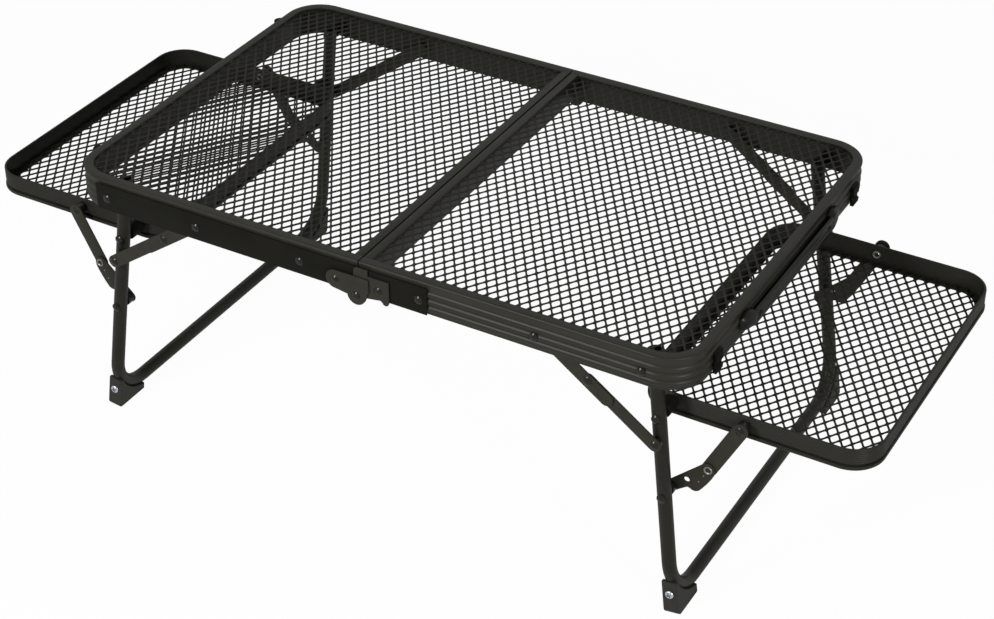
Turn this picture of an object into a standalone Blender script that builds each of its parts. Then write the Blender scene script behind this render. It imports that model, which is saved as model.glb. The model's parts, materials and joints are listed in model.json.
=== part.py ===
# A low folding camp table: two rimmed halves of expanded metal that fold at a middle seam,
# two U-shaped legs that fold in under them, and a drop-down wing tray on each leg.
# Metres, +Z up. The origin is on the floor under the middle, X runs along the table, -Y is the front.
# Each side is built outward along its own +X, under an empty that is turned by 180 degrees on the left.

from math import acos, asin, atan2, cos, degrees, hypot, pi, radians, sin, sqrt

import bmesh
import bpy
from mathutils import Matrix, Vector

# The two halves of the top
TOP_HEIGHT = 0.2725
TOP_LENGTH = 0.620
TOP_DEPTH = 0.390
RIM_HEIGHT = 0.032
RIM_FLANGE = 0.0090
RIM_FLANGE_THICKNESS = 0.0018
RIM_WALL = 0.0020
RIM_BEAD = 0.0008
BEAD_HEIGHTS = (0.0075, 0.0150, 0.0220)
RIM_CORNER = 0.036
RIM_CORNER_STEPS = {"left": 8, "right": 7}
SEAM_GAP = 0.0012
CROSSBAR_WIDTH = 0.0082
CROSSBAR_DEPTH = 0.024
SEAM_PIVOT_HEIGHT = 0.2400
PANEL_THICKNESS = 0.0012
LONG_PLATE = 0.278
SHORT_PLATE = 0.068
PLATE_THICKNESS = 0.0010
PLATE_HEIGHT = 0.0265

# The net's openings, five times the real sheet's 10.1 x 15.7 mm diamonds
DIAMOND_X = 0.0505
DIAMOND_Y = 0.0785
STRAND = 0.0034

# Legs
TUBE_RADIUS = 0.00635
TUBE_WALL = 0.0012
LEG_TILT = radians(7.6)
LEG_PIVOT_X = 0.2665
LEG_PIVOT_Z = 0.2535
LEG_Y = 0.172
LEG_Y_DOWN = 0.070
LEG_SPLAY = 0.045
LEG_BEND = 0.040
LEG_TOP_OVERHANG = 0.0064
BAR_HEIGHT = 0.0106

# Feet
FOOT_WIDTH = 0.0150
FOOT_HEIGHT = 0.0330
FOOT_FRONT_Y = 0.1818
FOOT_TOE_Y = 0.1830
FOOT_HEEL_Y = 0.1450
FOOT_CRADLE = 0.0043
SCREW_HEIGHT = 0.0205
SCREW_HEAD = 0.0040
SCREW_SHANK = 0.0016

# Wing trays
WING_PIVOT_DOWN = 0.0569
WING_INNER = 0.241
WING_OUTER = 0.451
WING_HALF_DEPTH = 0.148
WING_CORNER = 0.030
WING_RAIL_HEIGHT = 0.021
WING_RAIL_ABOVE_PIVOT = 0.0074
WING_RAIL_WALL = 0.0022
WING_LIP = 0.0008
WING_LEDGE = 0.0065
WING_LEDGE_HEIGHT = 0.0034
WING_LEDGE_THICKNESS = 0.0012

# Leg stays: a link on the rim and a link on the leg that lie in one line when the leg is out
STAY_RIM_X = 0.169
STAY_RIM_Z = 0.2535
STAY_LEG_DOWN = 0.0781
STAY_WIDTH = 0.0130
STAY_THICKNESS = 0.0015
STAY_OVERHANG = 0.0215
STAY_UPPER_Y = 0.18630
STAY_LOWER_Y = 0.18440

# Wing stays: a bar on the wing's rail and a shaped plate on the leg
WING_STAY_WING_X = 0.3402
WING_STAY_WING_Z = 0.1965
WING_STAY_LEG_DOWN = 0.1345
WING_STAY_PLATE = 0.0424
WING_BAR_WIDTH = 0.0140
WING_BAR_Y = 0.15775
WING_PLATE_Y = 0.15965

# Fasteners: shanks run in holes that clear them, and bushes keep the layers apart
SHANK_RADIUS = 0.0023
HOLE_RADIUS = 0.0029
HEAD_RADIUS = 0.0042
HEAD_HEIGHT = 0.0019
LOW_HEAD_HEIGHT = 0.0014
LEG_BUSH_RADIUS = 0.0060
WING_BUSH_RADIUS = 0.0082
STAY_BUSH_RADIUS = 0.0050
LEAF_THICKNESS = 0.0015
LEAF_LOBE = 0.0090
LEAF_RIVET_X = 0.0211
PLATE_RIVET_X = 0.0597
GAP = 0.0003
SINK = 0.0005

# Fittings on the two end rails
HANDLE_HALF = 0.102
HANDLE_BOSS = 0.020
HANDLE_BOW = 0.0082
HANDLE_STRAP = 0.0034
HANDLE_LOW = 0.2485
HANDLE_HIGH = 0.2660
LATCH_Y = 0.1465
LATCH_WIDTH = 0.013
KNOB_RADIUS = 0.006
KNOB_REACH = 0.002

RIM_BOTTOM = TOP_HEIGHT - RIM_HEIGHT
RIM_FACE = TOP_DEPTH / 2
RIM_END = TOP_LENGTH / 2
RIM_INSET = RIM_BEAD + RIM_WALL
WALL_INNER = RIM_FACE - RIM_INSET
SEAM_X = SEAM_GAP / 2
PANEL_TOP = TOP_HEIGHT - RIM_FLANGE_THICKNESS - GAP
PANEL_START = SEAM_X + CROSSBAR_WIDTH + GAP
PLATE_INNER = RIM_FACE + GAP
PLATE_OUTER = PLATE_INNER + PLATE_THICKNESS
INNER_LEAF = PLATE_OUTER + GAP
OUTER_LEAF = INNER_LEAF + LEAF_THICKNESS + GAP
STAY_HALF = STAY_THICKNESS / 2
TUBE_REACH = TUBE_RADIUS + 0.0003
WING_WALL_INNER = WING_HALF_DEPTH - WING_LIP - WING_RAIL_WALL
WING_PIVOT_X = LEG_PIVOT_X + WING_PIVOT_DOWN * sin(LEG_TILT)
WING_PIVOT_Z = LEG_PIVOT_Z - WING_PIVOT_DOWN * cos(LEG_TILT)
WING_BOTTOM = WING_RAIL_ABOVE_PIVOT - WING_RAIL_HEIGHT
BAR_DROP = -(LEG_PIVOT_Z - BAR_HEIGHT) / cos(LEG_TILT)
GROUND_DROP = -LEG_PIVOT_Z / cos(LEG_TILT)


def new_material(name, colour, roughness, metallic):
    material = bpy.data.materials.new(name)
    material.use_nodes = True
    shader = material.node_tree.nodes["Principled BSDF"]
    shader.inputs["Base Color"].default_value = (*colour, 1.0)
    shader.inputs["Roughness"].default_value = roughness
    shader.inputs["Metallic"].default_value = metallic
    material.diffuse_color = (*colour, 1.0)
    return material


def finish_mesh(name, bm, smooth_angle=35):
    """Turn a bmesh into a mesh with its faces pointing out."""
    bmesh.ops.recalc_face_normals(bm, faces=bm.faces)
    mesh = bpy.data.meshes.new(name)
    bm.to_mesh(mesh)
    bm.free()
    mesh.shade_smooth()
    mesh.set_sharp_from_angle(angle=radians(smooth_angle))
    return mesh


def add_object(name, mesh, parent, material, location=(0, 0, 0)):
    thing = bpy.data.objects.new(name, mesh)
    bpy.context.collection.objects.link(thing)
    thing.parent = parent
    thing.location = location
    if material is not None and not mesh.materials:
        mesh.materials.append(material)
    return thing


def add_empty(name, parent=None, location=(0, 0, 0), turn=(0, 0, 0)):
    empty = bpy.data.objects.new(name, None)
    bpy.context.collection.objects.link(empty)
    empty.empty_display_size = 0.02
    empty.parent = parent
    empty.location = location
    empty.rotation_euler = turn
    return empty


def combine(target, operation, mesh):
    """Cut a helper from an object or join it on; the helper shares the object's place."""
    helper = add_object(target.name + "_" + operation.lower(), mesh, target, None)
    helper.hide_render = True
    helper.display_type = "WIRE"
    boolean = target.modifiers.new(operation.lower(), "BOOLEAN")
    boolean.operation = operation
    boolean.solver = "EXACT"
    boolean.object = helper


def cut(target, mesh):
    combine(target, "DIFFERENCE", mesh)


def join(target, mesh):
    combine(target, "UNION", mesh)


def right_of(start, end):
    along = (Vector(end) - Vector(start)).normalized()
    return Vector((along.y, -along.x))


def rounded_path(corners, radius, steps, closed):
    """Stations along a path with round corners, each a point and its right-hand normal."""
    count = len(corners)
    stations = []
    if not closed:
        stations.append((Vector(corners[0]), right_of(corners[0], corners[1])))
    for index in range(count) if closed else range(1, count - 1):
        corner = Vector(corners[index])
        way_in = (corner - Vector(corners[index - 1])).normalized()
        way_out = (Vector(corners[(index + 1) % count]) - corner).normalized()
        angle = way_in.angle(way_out)
        start = corner - way_in * radius * sin(angle / 2) / cos(angle / 2)
        centre = start + Vector((-way_in.y, way_in.x)) * radius
        for step in range(steps + 1):
            normal = Matrix.Rotation(angle * step / steps, 2) @ Vector((way_in.y, -way_in.x))
            stations.append((centre + normal * radius, normal))
    if not closed:
        stations.append((Vector(corners[-1]), right_of(corners[-2], corners[-1])))
    return stations


def points_of(stations):
    return [(point.x, point.y) for point, _ in stations]


def join_rings(bm, rings, closed):
    pairs = list(zip(rings, rings[1:]))
    if closed:
        pairs.append((rings[-1], rings[0]))
    for ring, following in pairs:
        for index in range(len(ring)):
            after = (index + 1) % len(ring)
            bm.faces.new((ring[index], ring[after], following[after], following[index]))


def sweep(bm, stations, profile, closed):
    """Carry a profile of (outward, up) points along stations of a level path."""
    rings = []
    for point, normal in stations:
        ring = []
        for outward, up in profile:
            place = point + normal * outward
            ring.append(bm.verts.new((place.x, place.y, up)))
        rings.append(ring)
    join_rings(bm, rings, closed)
    if not closed:
        bm.faces.new(rings[0])
        bm.faces.new(rings[-1])


def tube_rings(bm, stations, radius, sides):
    """Rings of a round tube along a path in the YZ plane."""
    rings = []
    for point, normal in stations:
        ring = []
        for side in range(sides):
            angle = 2 * pi * (side + 0.5) / sides
            place = point + normal * radius * cos(angle)
            ring.append(bm.verts.new((radius * sin(angle), place.x, place.y)))
        rings.append(ring)
    return rings


def turned(bm, profile, facing, x=0.0, z=0.0, sides=8, closed=False):
    """A solid turned about Y from (radius, distance from the middle plane) points."""
    rings = []
    for radius, along in profile:
        ring = []
        for side in range(sides):
            angle = 2 * pi * (side + 0.5) / sides
            ring.append(bm.verts.new((x + radius * cos(angle), facing * along, z + radius * sin(angle))))
        rings.append(ring)
    join_rings(bm, rings, closed)
    if not closed:
        bm.faces.new(rings[0])
        bm.faces.new(rings[-1])


def turned_mesh(name, profile, facing, x=0.0, z=0.0):
    bm = bmesh.new()
    turned(bm, profile, facing, x, z)
    return finish_mesh(name, bm)


def head(near, outward=1, radius=HEAD_RADIUS, height=HEAD_HEIGHT):
    """Profile points of a domed rivet head on a face at the distance near."""
    return [
        (radius, near),
        (radius * 0.84, near + outward * height * 0.7),
        (radius * 0.40, near + outward * height),
    ]


def slab(bm, outline, low, high, axis="Y"):
    """A flat piece from an outline, thick along the given axis."""
    layers = []
    for level in (low, high):
        if axis == "Y":
            layers.append([bm.verts.new((a, level, b)) for a, b in outline])
        elif axis == "X":
            layers.append([bm.verts.new((level, a, b)) for a, b in outline])
        else:
            layers.append([bm.verts.new((a, b, level)) for a, b in outline])
    join_rings(bm, layers, False)
    bm.faces.new(layers[0])
    bm.faces.new(layers[1])


def slab_mesh(name, outline, low, high, axis="Y"):
    bm = bmesh.new()
    slab(bm, outline, low, high, axis)
    return finish_mesh(name, bm)


def arc(centre, radius, start, end, steps):
    """Points on an arc between two angles in degrees."""
    points = []
    for step in range(steps + 1):
        angle = radians(start + (end - start) * step / steps)
        points.append((centre[0] + radius * cos(angle), centre[1] + radius * sin(angle)))
    return points


def box_outline(low_a, high_a, low_b, high_b):
    return [(low_a, low_b), (high_a, low_b), (high_a, high_b), (low_a, high_b)]


def hole_mesh(places, near, far, facings=(-1, 1)):
    """Cutters along Y through the given (x, z) places."""
    bm = bmesh.new()
    for facing in facings:
        for x, z in places:
            turned(bm, ((HOLE_RADIUS, near), (HOLE_RADIUS, far)), facing, x, z)
    return finish_mesh("holes", bm)


def inside_edge(start, end, point):
    return (end[0] - start[0]) * (point[1] - start[1]) - (end[1] - start[1]) * (point[0] - start[0])


def clip_to(polygon, boundary):
    """The part of a polygon inside a convex boundary that runs anticlockwise."""
    for start, end in zip(boundary, boundary[1:] + boundary[:1]):
        kept = []
        for here, there in zip(polygon, polygon[1:] + polygon[:1]):
            depth_here = inside_edge(start, end, here)
            depth_there = inside_edge(start, end, there)
            if depth_here >= 0:
                kept.append(here)
            if depth_here * depth_there < 0:
                share = depth_here / (depth_here - depth_there)
                kept.append((here[0] + (there[0] - here[0]) * share, here[1] + (there[1] - here[1]) * share))
        polygon = kept
    return polygon


def polygon_area(polygon):
    pairs = zip(polygon, polygon[1:] + polygon[:1])
    return sum(a[0] * b[1] - b[0] * a[1] for a, b in pairs) / 2


def net_cutter(boundary, middle):
    """Diamond prisms inside a boundary, in staggered rows about a middle point."""
    shrink = 1 - STRAND * hypot(DIAMOND_X, DIAMOND_Y) / (DIAMOND_X * DIAMOND_Y)
    half_x = DIAMOND_X / 2 * shrink
    half_y = DIAMOND_Y / 2 * shrink
    span = max(hypot(x - middle[0], y - middle[1]) for x, y in boundary)
    columns = int(2 * span / DIAMOND_X) + 2
    rows = int(2 * span / DIAMOND_Y) + 2
    least_area = 0.3 * half_x * half_y
    bm = bmesh.new()
    for column in range(-columns, columns + 1):
        for row in range(-rows, rows + 1):
            if (column + row) % 2:
                continue
            x = middle[0] + column * DIAMOND_X / 2
            y = middle[1] + row * DIAMOND_Y / 2
            diamond = [(x - half_x, y), (x, y - half_y), (x + half_x, y), (x, y + half_y)]
            opening = clip_to(diamond, boundary)
            if len(opening) > 2 and polygon_area(opening) > least_area:
                slab(bm, opening, -0.01, 0.01, "Z")
    return finish_mesh("net_cutter", bm)


def rim_profile():
    """The rim's section: top flange, plain band, three beads and a bottom lip."""
    crest = 0.0006
    points = [(-RIM_INSET, 0), (0, 0), (0, 0.0022), (-RIM_BEAD, 0.0022 + RIM_BEAD)]
    for height in BEAD_HEIGHTS:
        points += [
            (-RIM_BEAD, height - crest - RIM_BEAD),
            (0, height - crest),
            (0, height + crest),
            (-RIM_BEAD, height + crest + RIM_BEAD),
        ]
    points += [
        (-RIM_BEAD, 0.0252),
        (0, 0.0262),
        (0, RIM_HEIGHT - RIM_BEAD),
        (-RIM_BEAD, RIM_HEIGHT),
        (-RIM_FLANGE, RIM_HEIGHT),
        (-RIM_FLANGE, RIM_HEIGHT - RIM_FLANGE_THICKNESS),
        (-RIM_INSET, RIM_HEIGHT - RIM_FLANGE_THICKNESS),
    ]
    return [(outward, RIM_BOTTOM + up) for outward, up in points]


def half_outline(inset, start):
    """The plan of one half, square at the seam and round at the end."""
    edge = RIM_FACE - inset
    corners = [(start, -edge), (RIM_END - inset, -edge), (RIM_END - inset, edge), (start, edge)]
    return corners, RIM_CORNER - inset


def rim_mesh(steps):
    corners, radius = half_outline(0, SEAM_X)
    bm = bmesh.new()
    sweep(bm, rounded_path(corners, radius, steps, False), rim_profile(), False)
    return finish_mesh("rim", bm)


def crossbar_mesh():
    half = RIM_FACE - RIM_FLANGE - GAP
    outline = box_outline(SEAM_X, SEAM_X + CROSSBAR_WIDTH, -half, half)
    return slab_mesh("crossbar", outline, TOP_HEIGHT - CROSSBAR_DEPTH, TOP_HEIGHT, "Z")


def top_net_mesh():
    """The sheet that lies under the rim's flange."""
    corners, radius = half_outline(RIM_INSET + GAP, PANEL_START)
    outline = points_of(rounded_path(corners, radius, 6, False))
    half = PANEL_THICKNESS / 2
    return slab_mesh("top_net", outline, -half, half, "Z")


def top_openings_mesh():
    start = PANEL_START + 0.003
    corners, radius = half_outline(RIM_FLANGE + 0.001, start)
    boundary = points_of(rounded_path(corners, radius, 3, False))
    return net_cutter(boundary, ((start + RIM_END) / 2, 0))


def side_plate_mesh(length, facing):
    """A plain cover plate over the beads of one long side, from the seam outwards."""
    low = RIM_BOTTOM + GAP
    outline = box_outline(SEAM_X, length, low, low + PLATE_HEIGHT)
    return slab_mesh("side_plate", outline, facing * PLATE_INNER, facing * PLATE_OUTER)


def outer_leaf_outline():
    """A strip with a round end on its own half and a round lobe over the seam's pivot."""
    low = RIM_BOTTOM + 0.0005
    half_height = 0.0092
    middle = low + half_height
    outline = arc((0, SEAM_PIVOT_HEIGHT), LEAF_LOBE, 185, 355, 7)
    outline += arc((LEAF_RIVET_X, middle), half_height, -90, 90, 7)
    outline += [(-0.0125, middle + half_height), (-0.0125, low + 0.006)]
    return outline


def inner_leaf_outline():
    """A plate with a tooth at its far end, a lobe over the pivot and a small tongue above."""
    low = RIM_BOTTOM + 0.0010
    high = RIM_BOTTOM + 0.0215
    outline = arc((0, SEAM_PIVOT_HEIGHT), LEAF_LOBE, 180, 355, 7)
    outline += [(0.0235, low), (0.0255, low - 0.0033), (0.0310, low - 0.0033), (0.0318, low)]
    outline += [(0.0318, high), (0.0110, high), (0.0110, high + 0.006), (-0.0005, high + 0.006)]
    outline += [(-0.0030, high + 0.004), (-0.0035, high - 0.004), (-0.0088, low + 0.006)]
    return outline


def add_seam_leaf(side, end, facing, half, coat):
    """A hinge leaf with its rivet; the left one stands off its plate on a spacer."""
    rivet_z = RIM_BOTTOM + 0.0097
    if side == "left":
        outline, near = outer_leaf_outline(), OUTER_LEAF
        foot = [(STAY_BUSH_RADIUS, INNER_LEAF), (STAY_BUSH_RADIUS, near + SINK)]
    else:
        outline, near = inner_leaf_outline(), INNER_LEAF
        foot = []
    far = near + LEAF_THICKNESS
    mesh = slab_mesh("seam_leaf", outline, facing * near, facing * far)
    leaf = add_object(side + "_" + end + "_seam_leaf", mesh, half, coat)
    rivet = foot + head(far - SINK)
    join(leaf, turned_mesh("leaf_rivet", rivet, facing, LEAF_RIVET_X, rivet_z))
    cut(leaf, hole_mesh([(0, SEAM_PIVOT_HEIGHT)], near - 0.002, far + 0.002, (facing,)))


def add_side_plate(side, end, facing, half, coat):
    """A cover plate with its rivet, and with holes where the left one covers two pivots."""
    length = LONG_PLATE if side == "left" else SHORT_PLATE
    plate = add_object(side + "_" + end + "_side_plate", side_plate_mesh(length, facing), half, coat)
    join(plate, turned_mesh("plate_rivet", head(PLATE_OUTER - SINK), facing, PLATE_RIVET_X, LEG_PIVOT_Z))
    if side == "left":
        places = [(LEG_PIVOT_X, LEG_PIVOT_Z), (STAY_RIM_X, STAY_RIM_Z)]
        cut(plate, hole_mesh(places, RIM_FACE - 0.001, PLATE_OUTER + 0.001, (facing,)))


def outside_face(side):
    """Where a rivet head sits on the long side near the leg: on the plate or on the bare rim."""
    return GAP + (PLATE_OUTER if side == "left" else RIM_FACE)


def add_leg_pivot(side, end, facing, half, coat):
    """The pin that a leg turns on: outer head, shank, bush, shank through the tube, inner head."""
    profile = head(outside_face(side))[::-1] + [
        (SHANK_RADIUS, outside_face(side)),
        (SHANK_RADIUS, WALL_INNER - GAP),
        (LEG_BUSH_RADIUS, WALL_INNER - GAP),
        (LEG_BUSH_RADIUS, tube_outer(0)),
        (SHANK_RADIUS, tube_outer(0)),
        (SHANK_RADIUS, tube_inner(0)),
    ] + head(tube_inner(0), -1, height=LOW_HEAD_HEIGHT)
    mesh = turned_mesh("leg_pivot", profile, facing)
    add_object(side + "_" + end + "_leg_pivot_pin", mesh, half, coat, (LEG_PIVOT_X, 0, LEG_PIVOT_Z))


def add_wing_pivot(side, end, facing, leg, coat):
    """The pin that a wing turns on, with a thick bush between the tube and the wing's rail."""
    profile = head(tube_outer(WING_PIVOT_DOWN))[::-1] + [
        (SHANK_RADIUS, tube_outer(WING_PIVOT_DOWN)),
        (SHANK_RADIUS, tube_inner(WING_PIVOT_DOWN)),
        (WING_BUSH_RADIUS, tube_inner(WING_PIVOT_DOWN)),
        (WING_BUSH_RADIUS, WING_HALF_DEPTH + GAP),
        (SHANK_RADIUS, WING_HALF_DEPTH + GAP),
        (SHANK_RADIUS, WING_WALL_INNER - GAP),
    ] + head(WING_WALL_INNER - GAP, -1)
    mesh = turned_mesh("wing_pivot", profile, facing)
    add_object(side + "_" + end + "_wing_pivot_pin", mesh, leg, coat, (0, 0, -WING_PIVOT_DOWN))


def seam_pin_mesh(facing):
    profile = [(SHANK_RADIUS, INNER_LEAF), (SHANK_RADIUS, OUTER_LEAF + LEAF_THICKNESS + GAP)]
    profile += head(OUTER_LEAF + LEAF_THICKNESS + GAP)
    return turned_mesh("seam_pin", profile, facing)


def leg_y(down):
    """How far out a leg tube's centre is at a distance below its pivot."""
    return LEG_Y + LEG_SPLAY * (down - LEG_Y_DOWN)


def tube_outer(down):
    return leg_y(down) + TUBE_REACH + GAP


def tube_inner(down):
    return leg_y(down) - TUBE_REACH - GAP


def leg_stations():
    """The leg's centre line in its own frame: Y across, Z up from the pivot at zero."""
    high, low = leg_y(-LEG_TOP_OVERHANG), leg_y(-BAR_DROP)
    corners = [(-high, LEG_TOP_OVERHANG), (-low, BAR_DROP), (low, BAR_DROP), (high, LEG_TOP_OVERHANG)]
    return rounded_path(corners, LEG_BEND, 5, False)


def leg_mesh():
    """A bent round tube with open ends."""
    bm = bmesh.new()
    outer = tube_rings(bm, leg_stations(), TUBE_RADIUS, 10)
    inner = tube_rings(bm, leg_stations(), TUBE_RADIUS - TUBE_WALL, 10)
    join_rings(bm, outer, False)
    join_rings(bm, inner, False)
    for end in (0, -1):
        join_rings(bm, [outer[end], inner[end]], False)
    return finish_mesh("leg_tube", bm)


def leg_holes_mesh():
    """Holes for the pins: through both walls, but only the outer wall at the leg stay."""
    bm = bmesh.new()
    through = (0, -WING_PIVOT_DOWN, -WING_STAY_LEG_DOWN)
    for facing in (-1, 1):
        for z in through:
            middle = leg_y(-z)
            turned(bm, ((HOLE_RADIUS, middle - 0.010), (HOLE_RADIUS, middle + 0.010)), facing, 0, z)
        middle = leg_y(STAY_LEG_DOWN)
        turned(bm, ((HOLE_RADIUS, middle), (HOLE_RADIUS, middle + 0.010)), facing, 0, -STAY_LEG_DOWN)
    return finish_mesh("leg_holes", bm)


def foot_mesh(facing):
    """A boot under one bend: a tall front, a flat sole and a low heel, open along the tube."""
    turn = (pi / 2 + atan2(LEG_SPLAY, 1)) / 2
    bend = (leg_y(-BAR_DROP) - LEG_BEND * sin(turn) / cos(turn), BAR_DROP + LEG_BEND)
    cradle = LEG_BEND + FOOT_CRADLE
    toe = GROUND_DROP - 0.002
    top = GROUND_DROP + FOOT_HEIGHT
    heel_angle = -degrees(acos((FOOT_HEEL_Y - bend[0]) / cradle))
    top_angle = -degrees(asin((bend[1] - top) / cradle))
    outline = [(FOOT_HEEL_Y, toe), (FOOT_TOE_Y, toe), (FOOT_FRONT_Y, top)]
    outline += arc(bend, cradle, top_angle, heel_angle, 7)
    bm = bmesh.new()
    slab(bm, [(facing * y, z) for y, z in outline], -FOOT_WIDTH / 2, FOOT_WIDTH / 2, "X")
    cut_edges = bmesh.ops.bisect_plane(
        bm,
        geom=bm.verts[:] + bm.edges[:] + bm.faces[:],
        plane_co=(0, 0, GROUND_DROP),
        plane_no=(-sin(LEG_TILT), 0, -cos(LEG_TILT)),
        clear_outer=True,
    )["geom_cut"]
    sole = [item for item in cut_edges if isinstance(item, bmesh.types.BMEdge)]
    bmesh.ops.contextual_create(bm, geom=sole)
    return finish_mesh("foot", bm)


def tube_clearance_mesh():
    bm = bmesh.new()
    rings = tube_rings(bm, leg_stations(), TUBE_RADIUS + GAP, 10)
    join_rings(bm, rings, False)
    bm.faces.new(rings[0])
    bm.faces.new(rings[-1])
    return finish_mesh("tube_clearance", bm)


def on_foot_front(profile, facing):
    """A turned mesh set square on the foot's sloping front; its profile starts at that face."""
    slope = (FOOT_FRONT_Y - FOOT_TOE_Y) / FOOT_HEIGHT
    face = FOOT_TOE_Y + slope * SCREW_HEIGHT
    bm = bmesh.new()
    turned(bm, profile, facing)
    lean = Matrix.Rotation(facing * -atan2(slope, 1), 4, "X")
    bmesh.ops.transform(bm, matrix=lean, verts=bm.verts)
    bmesh.ops.translate(bm, vec=(0, facing * face, GROUND_DROP + SCREW_HEIGHT), verts=bm.verts)
    return finish_mesh("foot_screw", bm)


def add_foot(side, end, facing, leg, shared, black, steel):
    foot = add_object(side + "_" + end + "_foot", foot_mesh(facing), leg, black)
    cut(foot, shared["tube_clearance"])
    cut(foot, on_foot_front([(SCREW_SHANK + 0.0006, -0.0062), (SCREW_SHANK + 0.0006, 0.002)], facing))
    screw = [(SCREW_SHANK, -0.0055), (SCREW_SHANK, GAP), (SCREW_HEAD, GAP)]
    screw += [(SCREW_HEAD * 0.9, 0.0013), (SCREW_HEAD * 0.5, 0.0021)]
    add_object(side + "_" + end + "_foot_screw", on_foot_front(screw, facing), leg, steel)


def wing_corners(inset):
    low_x = WING_INNER - WING_PIVOT_X + inset
    high_x = WING_OUTER - WING_PIVOT_X - inset
    half = WING_HALF_DEPTH - inset
    return [(low_x, -half), (high_x, -half), (high_x, half), (low_x, half)]


def wing_rail_mesh():
    """A round-cornered ring: a plain wall, a proud bottom lip and a ledge for the sheet."""
    lip = -WING_LIP
    wall = lip - WING_RAIL_WALL
    ledge = wall - WING_LEDGE
    profile = [
        (wall, 0),
        (0, 0),
        (0, 0.0042),
        (lip, 0.0050),
        (lip, WING_RAIL_HEIGHT),
        (wall, WING_RAIL_HEIGHT),
        (wall, WING_LEDGE_HEIGHT),
        (ledge, WING_LEDGE_HEIGHT),
        (ledge, WING_LEDGE_HEIGHT - WING_LEDGE_THICKNESS),
        (wall, WING_LEDGE_HEIGHT - WING_LEDGE_THICKNESS),
    ]
    bm = bmesh.new()
    stations = rounded_path(wing_corners(0), WING_CORNER, 6, True)
    sweep(bm, stations, [(outward, WING_BOTTOM + up) for outward, up in profile], True)
    return finish_mesh("wing_rail", bm)


def wing_net_mesh():
    inset = WING_LIP + WING_RAIL_WALL + GAP
    outline = points_of(rounded_path(wing_corners(inset), WING_CORNER - inset, 5, True))
    half = PANEL_THICKNESS / 2
    return slab_mesh("wing_net", outline, -half, half, "Z")


def wing_openings_mesh():
    inset = WING_LIP + WING_RAIL_WALL + WING_LEDGE
    corners = wing_corners(inset)
    boundary = points_of(rounded_path(corners, WING_CORNER - inset, 3, True))
    return net_cutter(boundary, ((corners[0][0] + corners[1][0]) / 2, 0))


def link_outline(length, width, overhang=0.0):
    """A bar with round ends, from its pivot at the origin along +X."""
    return arc((0, 0), width / 2, 90, 270, 6) + arc((length + overhang, 0), width / 2, -90, 90, 6)


def wing_plate_outline():
    """An arm, a round end at the knuckle and a lobe below it."""
    arm = 0.0056
    outline = arc((0, 0), arm, 90, 250, 6)
    outline += [(0.0128, -0.0067), (0.0151, -0.0113), (0.0202, -0.0137), (0.0317, -0.0112)]
    outline += [(0.0417, -0.0075), (0.0468, -0.0042), (0.0480, 0.0017), (0.0449, 0.0065)]
    return outline


def add_leg_stay_upper(side, end, facing, pivot, length, coat):
    """The rim's link, with its pin through the rim and the knuckle's rivet head."""
    near, far = STAY_UPPER_Y - STAY_HALF, STAY_UPPER_Y + STAY_HALF
    mesh = slab_mesh("leg_stay_upper", link_outline(length, STAY_WIDTH, STAY_OVERHANG), facing * near, facing * far)
    link = add_object(side + "_" + end + "_leg_stay_upper", mesh, pivot, coat)
    face = outside_face(side)
    pin = [(STAY_BUSH_RADIUS, far - SINK), (STAY_BUSH_RADIUS, WALL_INNER - GAP)]
    pin += [(SHANK_RADIUS, WALL_INNER - GAP), (SHANK_RADIUS, face)] + head(face)
    bm = bmesh.new()
    turned(bm, pin, facing)
    turned(bm, head(far - SINK, radius=0.0050), facing, length)
    join(link, finish_mesh("leg_stay_upper_rivets", bm))


def add_leg_stay_lower(side, end, facing, pivot, length, coat):
    """The leg's link, with its pin into the tube."""
    near, far = STAY_LOWER_Y - STAY_HALF, STAY_LOWER_Y + STAY_HALF
    mesh = slab_mesh("leg_stay_lower", link_outline(length, STAY_WIDTH - 0.0006), facing * near, facing * far)
    link = add_object(side + "_" + end + "_leg_stay_lower", mesh, pivot, coat)
    tube = tube_outer(STAY_LEG_DOWN)
    pin = [(SHANK_RADIUS, leg_y(STAY_LEG_DOWN) + 0.002), (SHANK_RADIUS, tube)]
    pin += [(STAY_BUSH_RADIUS, tube), (STAY_BUSH_RADIUS, near + SINK)] + head(far - SINK)
    join(link, turned_mesh("leg_stay_lower_pin", pin, facing))


def add_wing_bar(side, end, facing, pivot, length, coat):
    """The wing's link, with its pin through the wing's rail."""
    near, far = WING_BAR_Y - STAY_HALF, WING_BAR_Y + STAY_HALF
    mesh = slab_mesh("wing_stay_bar", link_outline(length, WING_BAR_WIDTH), facing * near, facing * far)
    link = add_object(side + "_" + end + "_wing_stay_bar", mesh, pivot, coat)
    inner = WING_WALL_INNER - GAP
    pin = head(inner, -1)[::-1] + [
        (SHANK_RADIUS, inner),
        (SHANK_RADIUS, WING_HALF_DEPTH + GAP),
        (STAY_BUSH_RADIUS, WING_HALF_DEPTH + GAP),
        (STAY_BUSH_RADIUS, near + SINK),
        (0.0038, near + SINK),
        (0.0032, far + 0.0010),
    ]
    join(link, turned_mesh("wing_stay_bar_pin", pin, facing))


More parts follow.
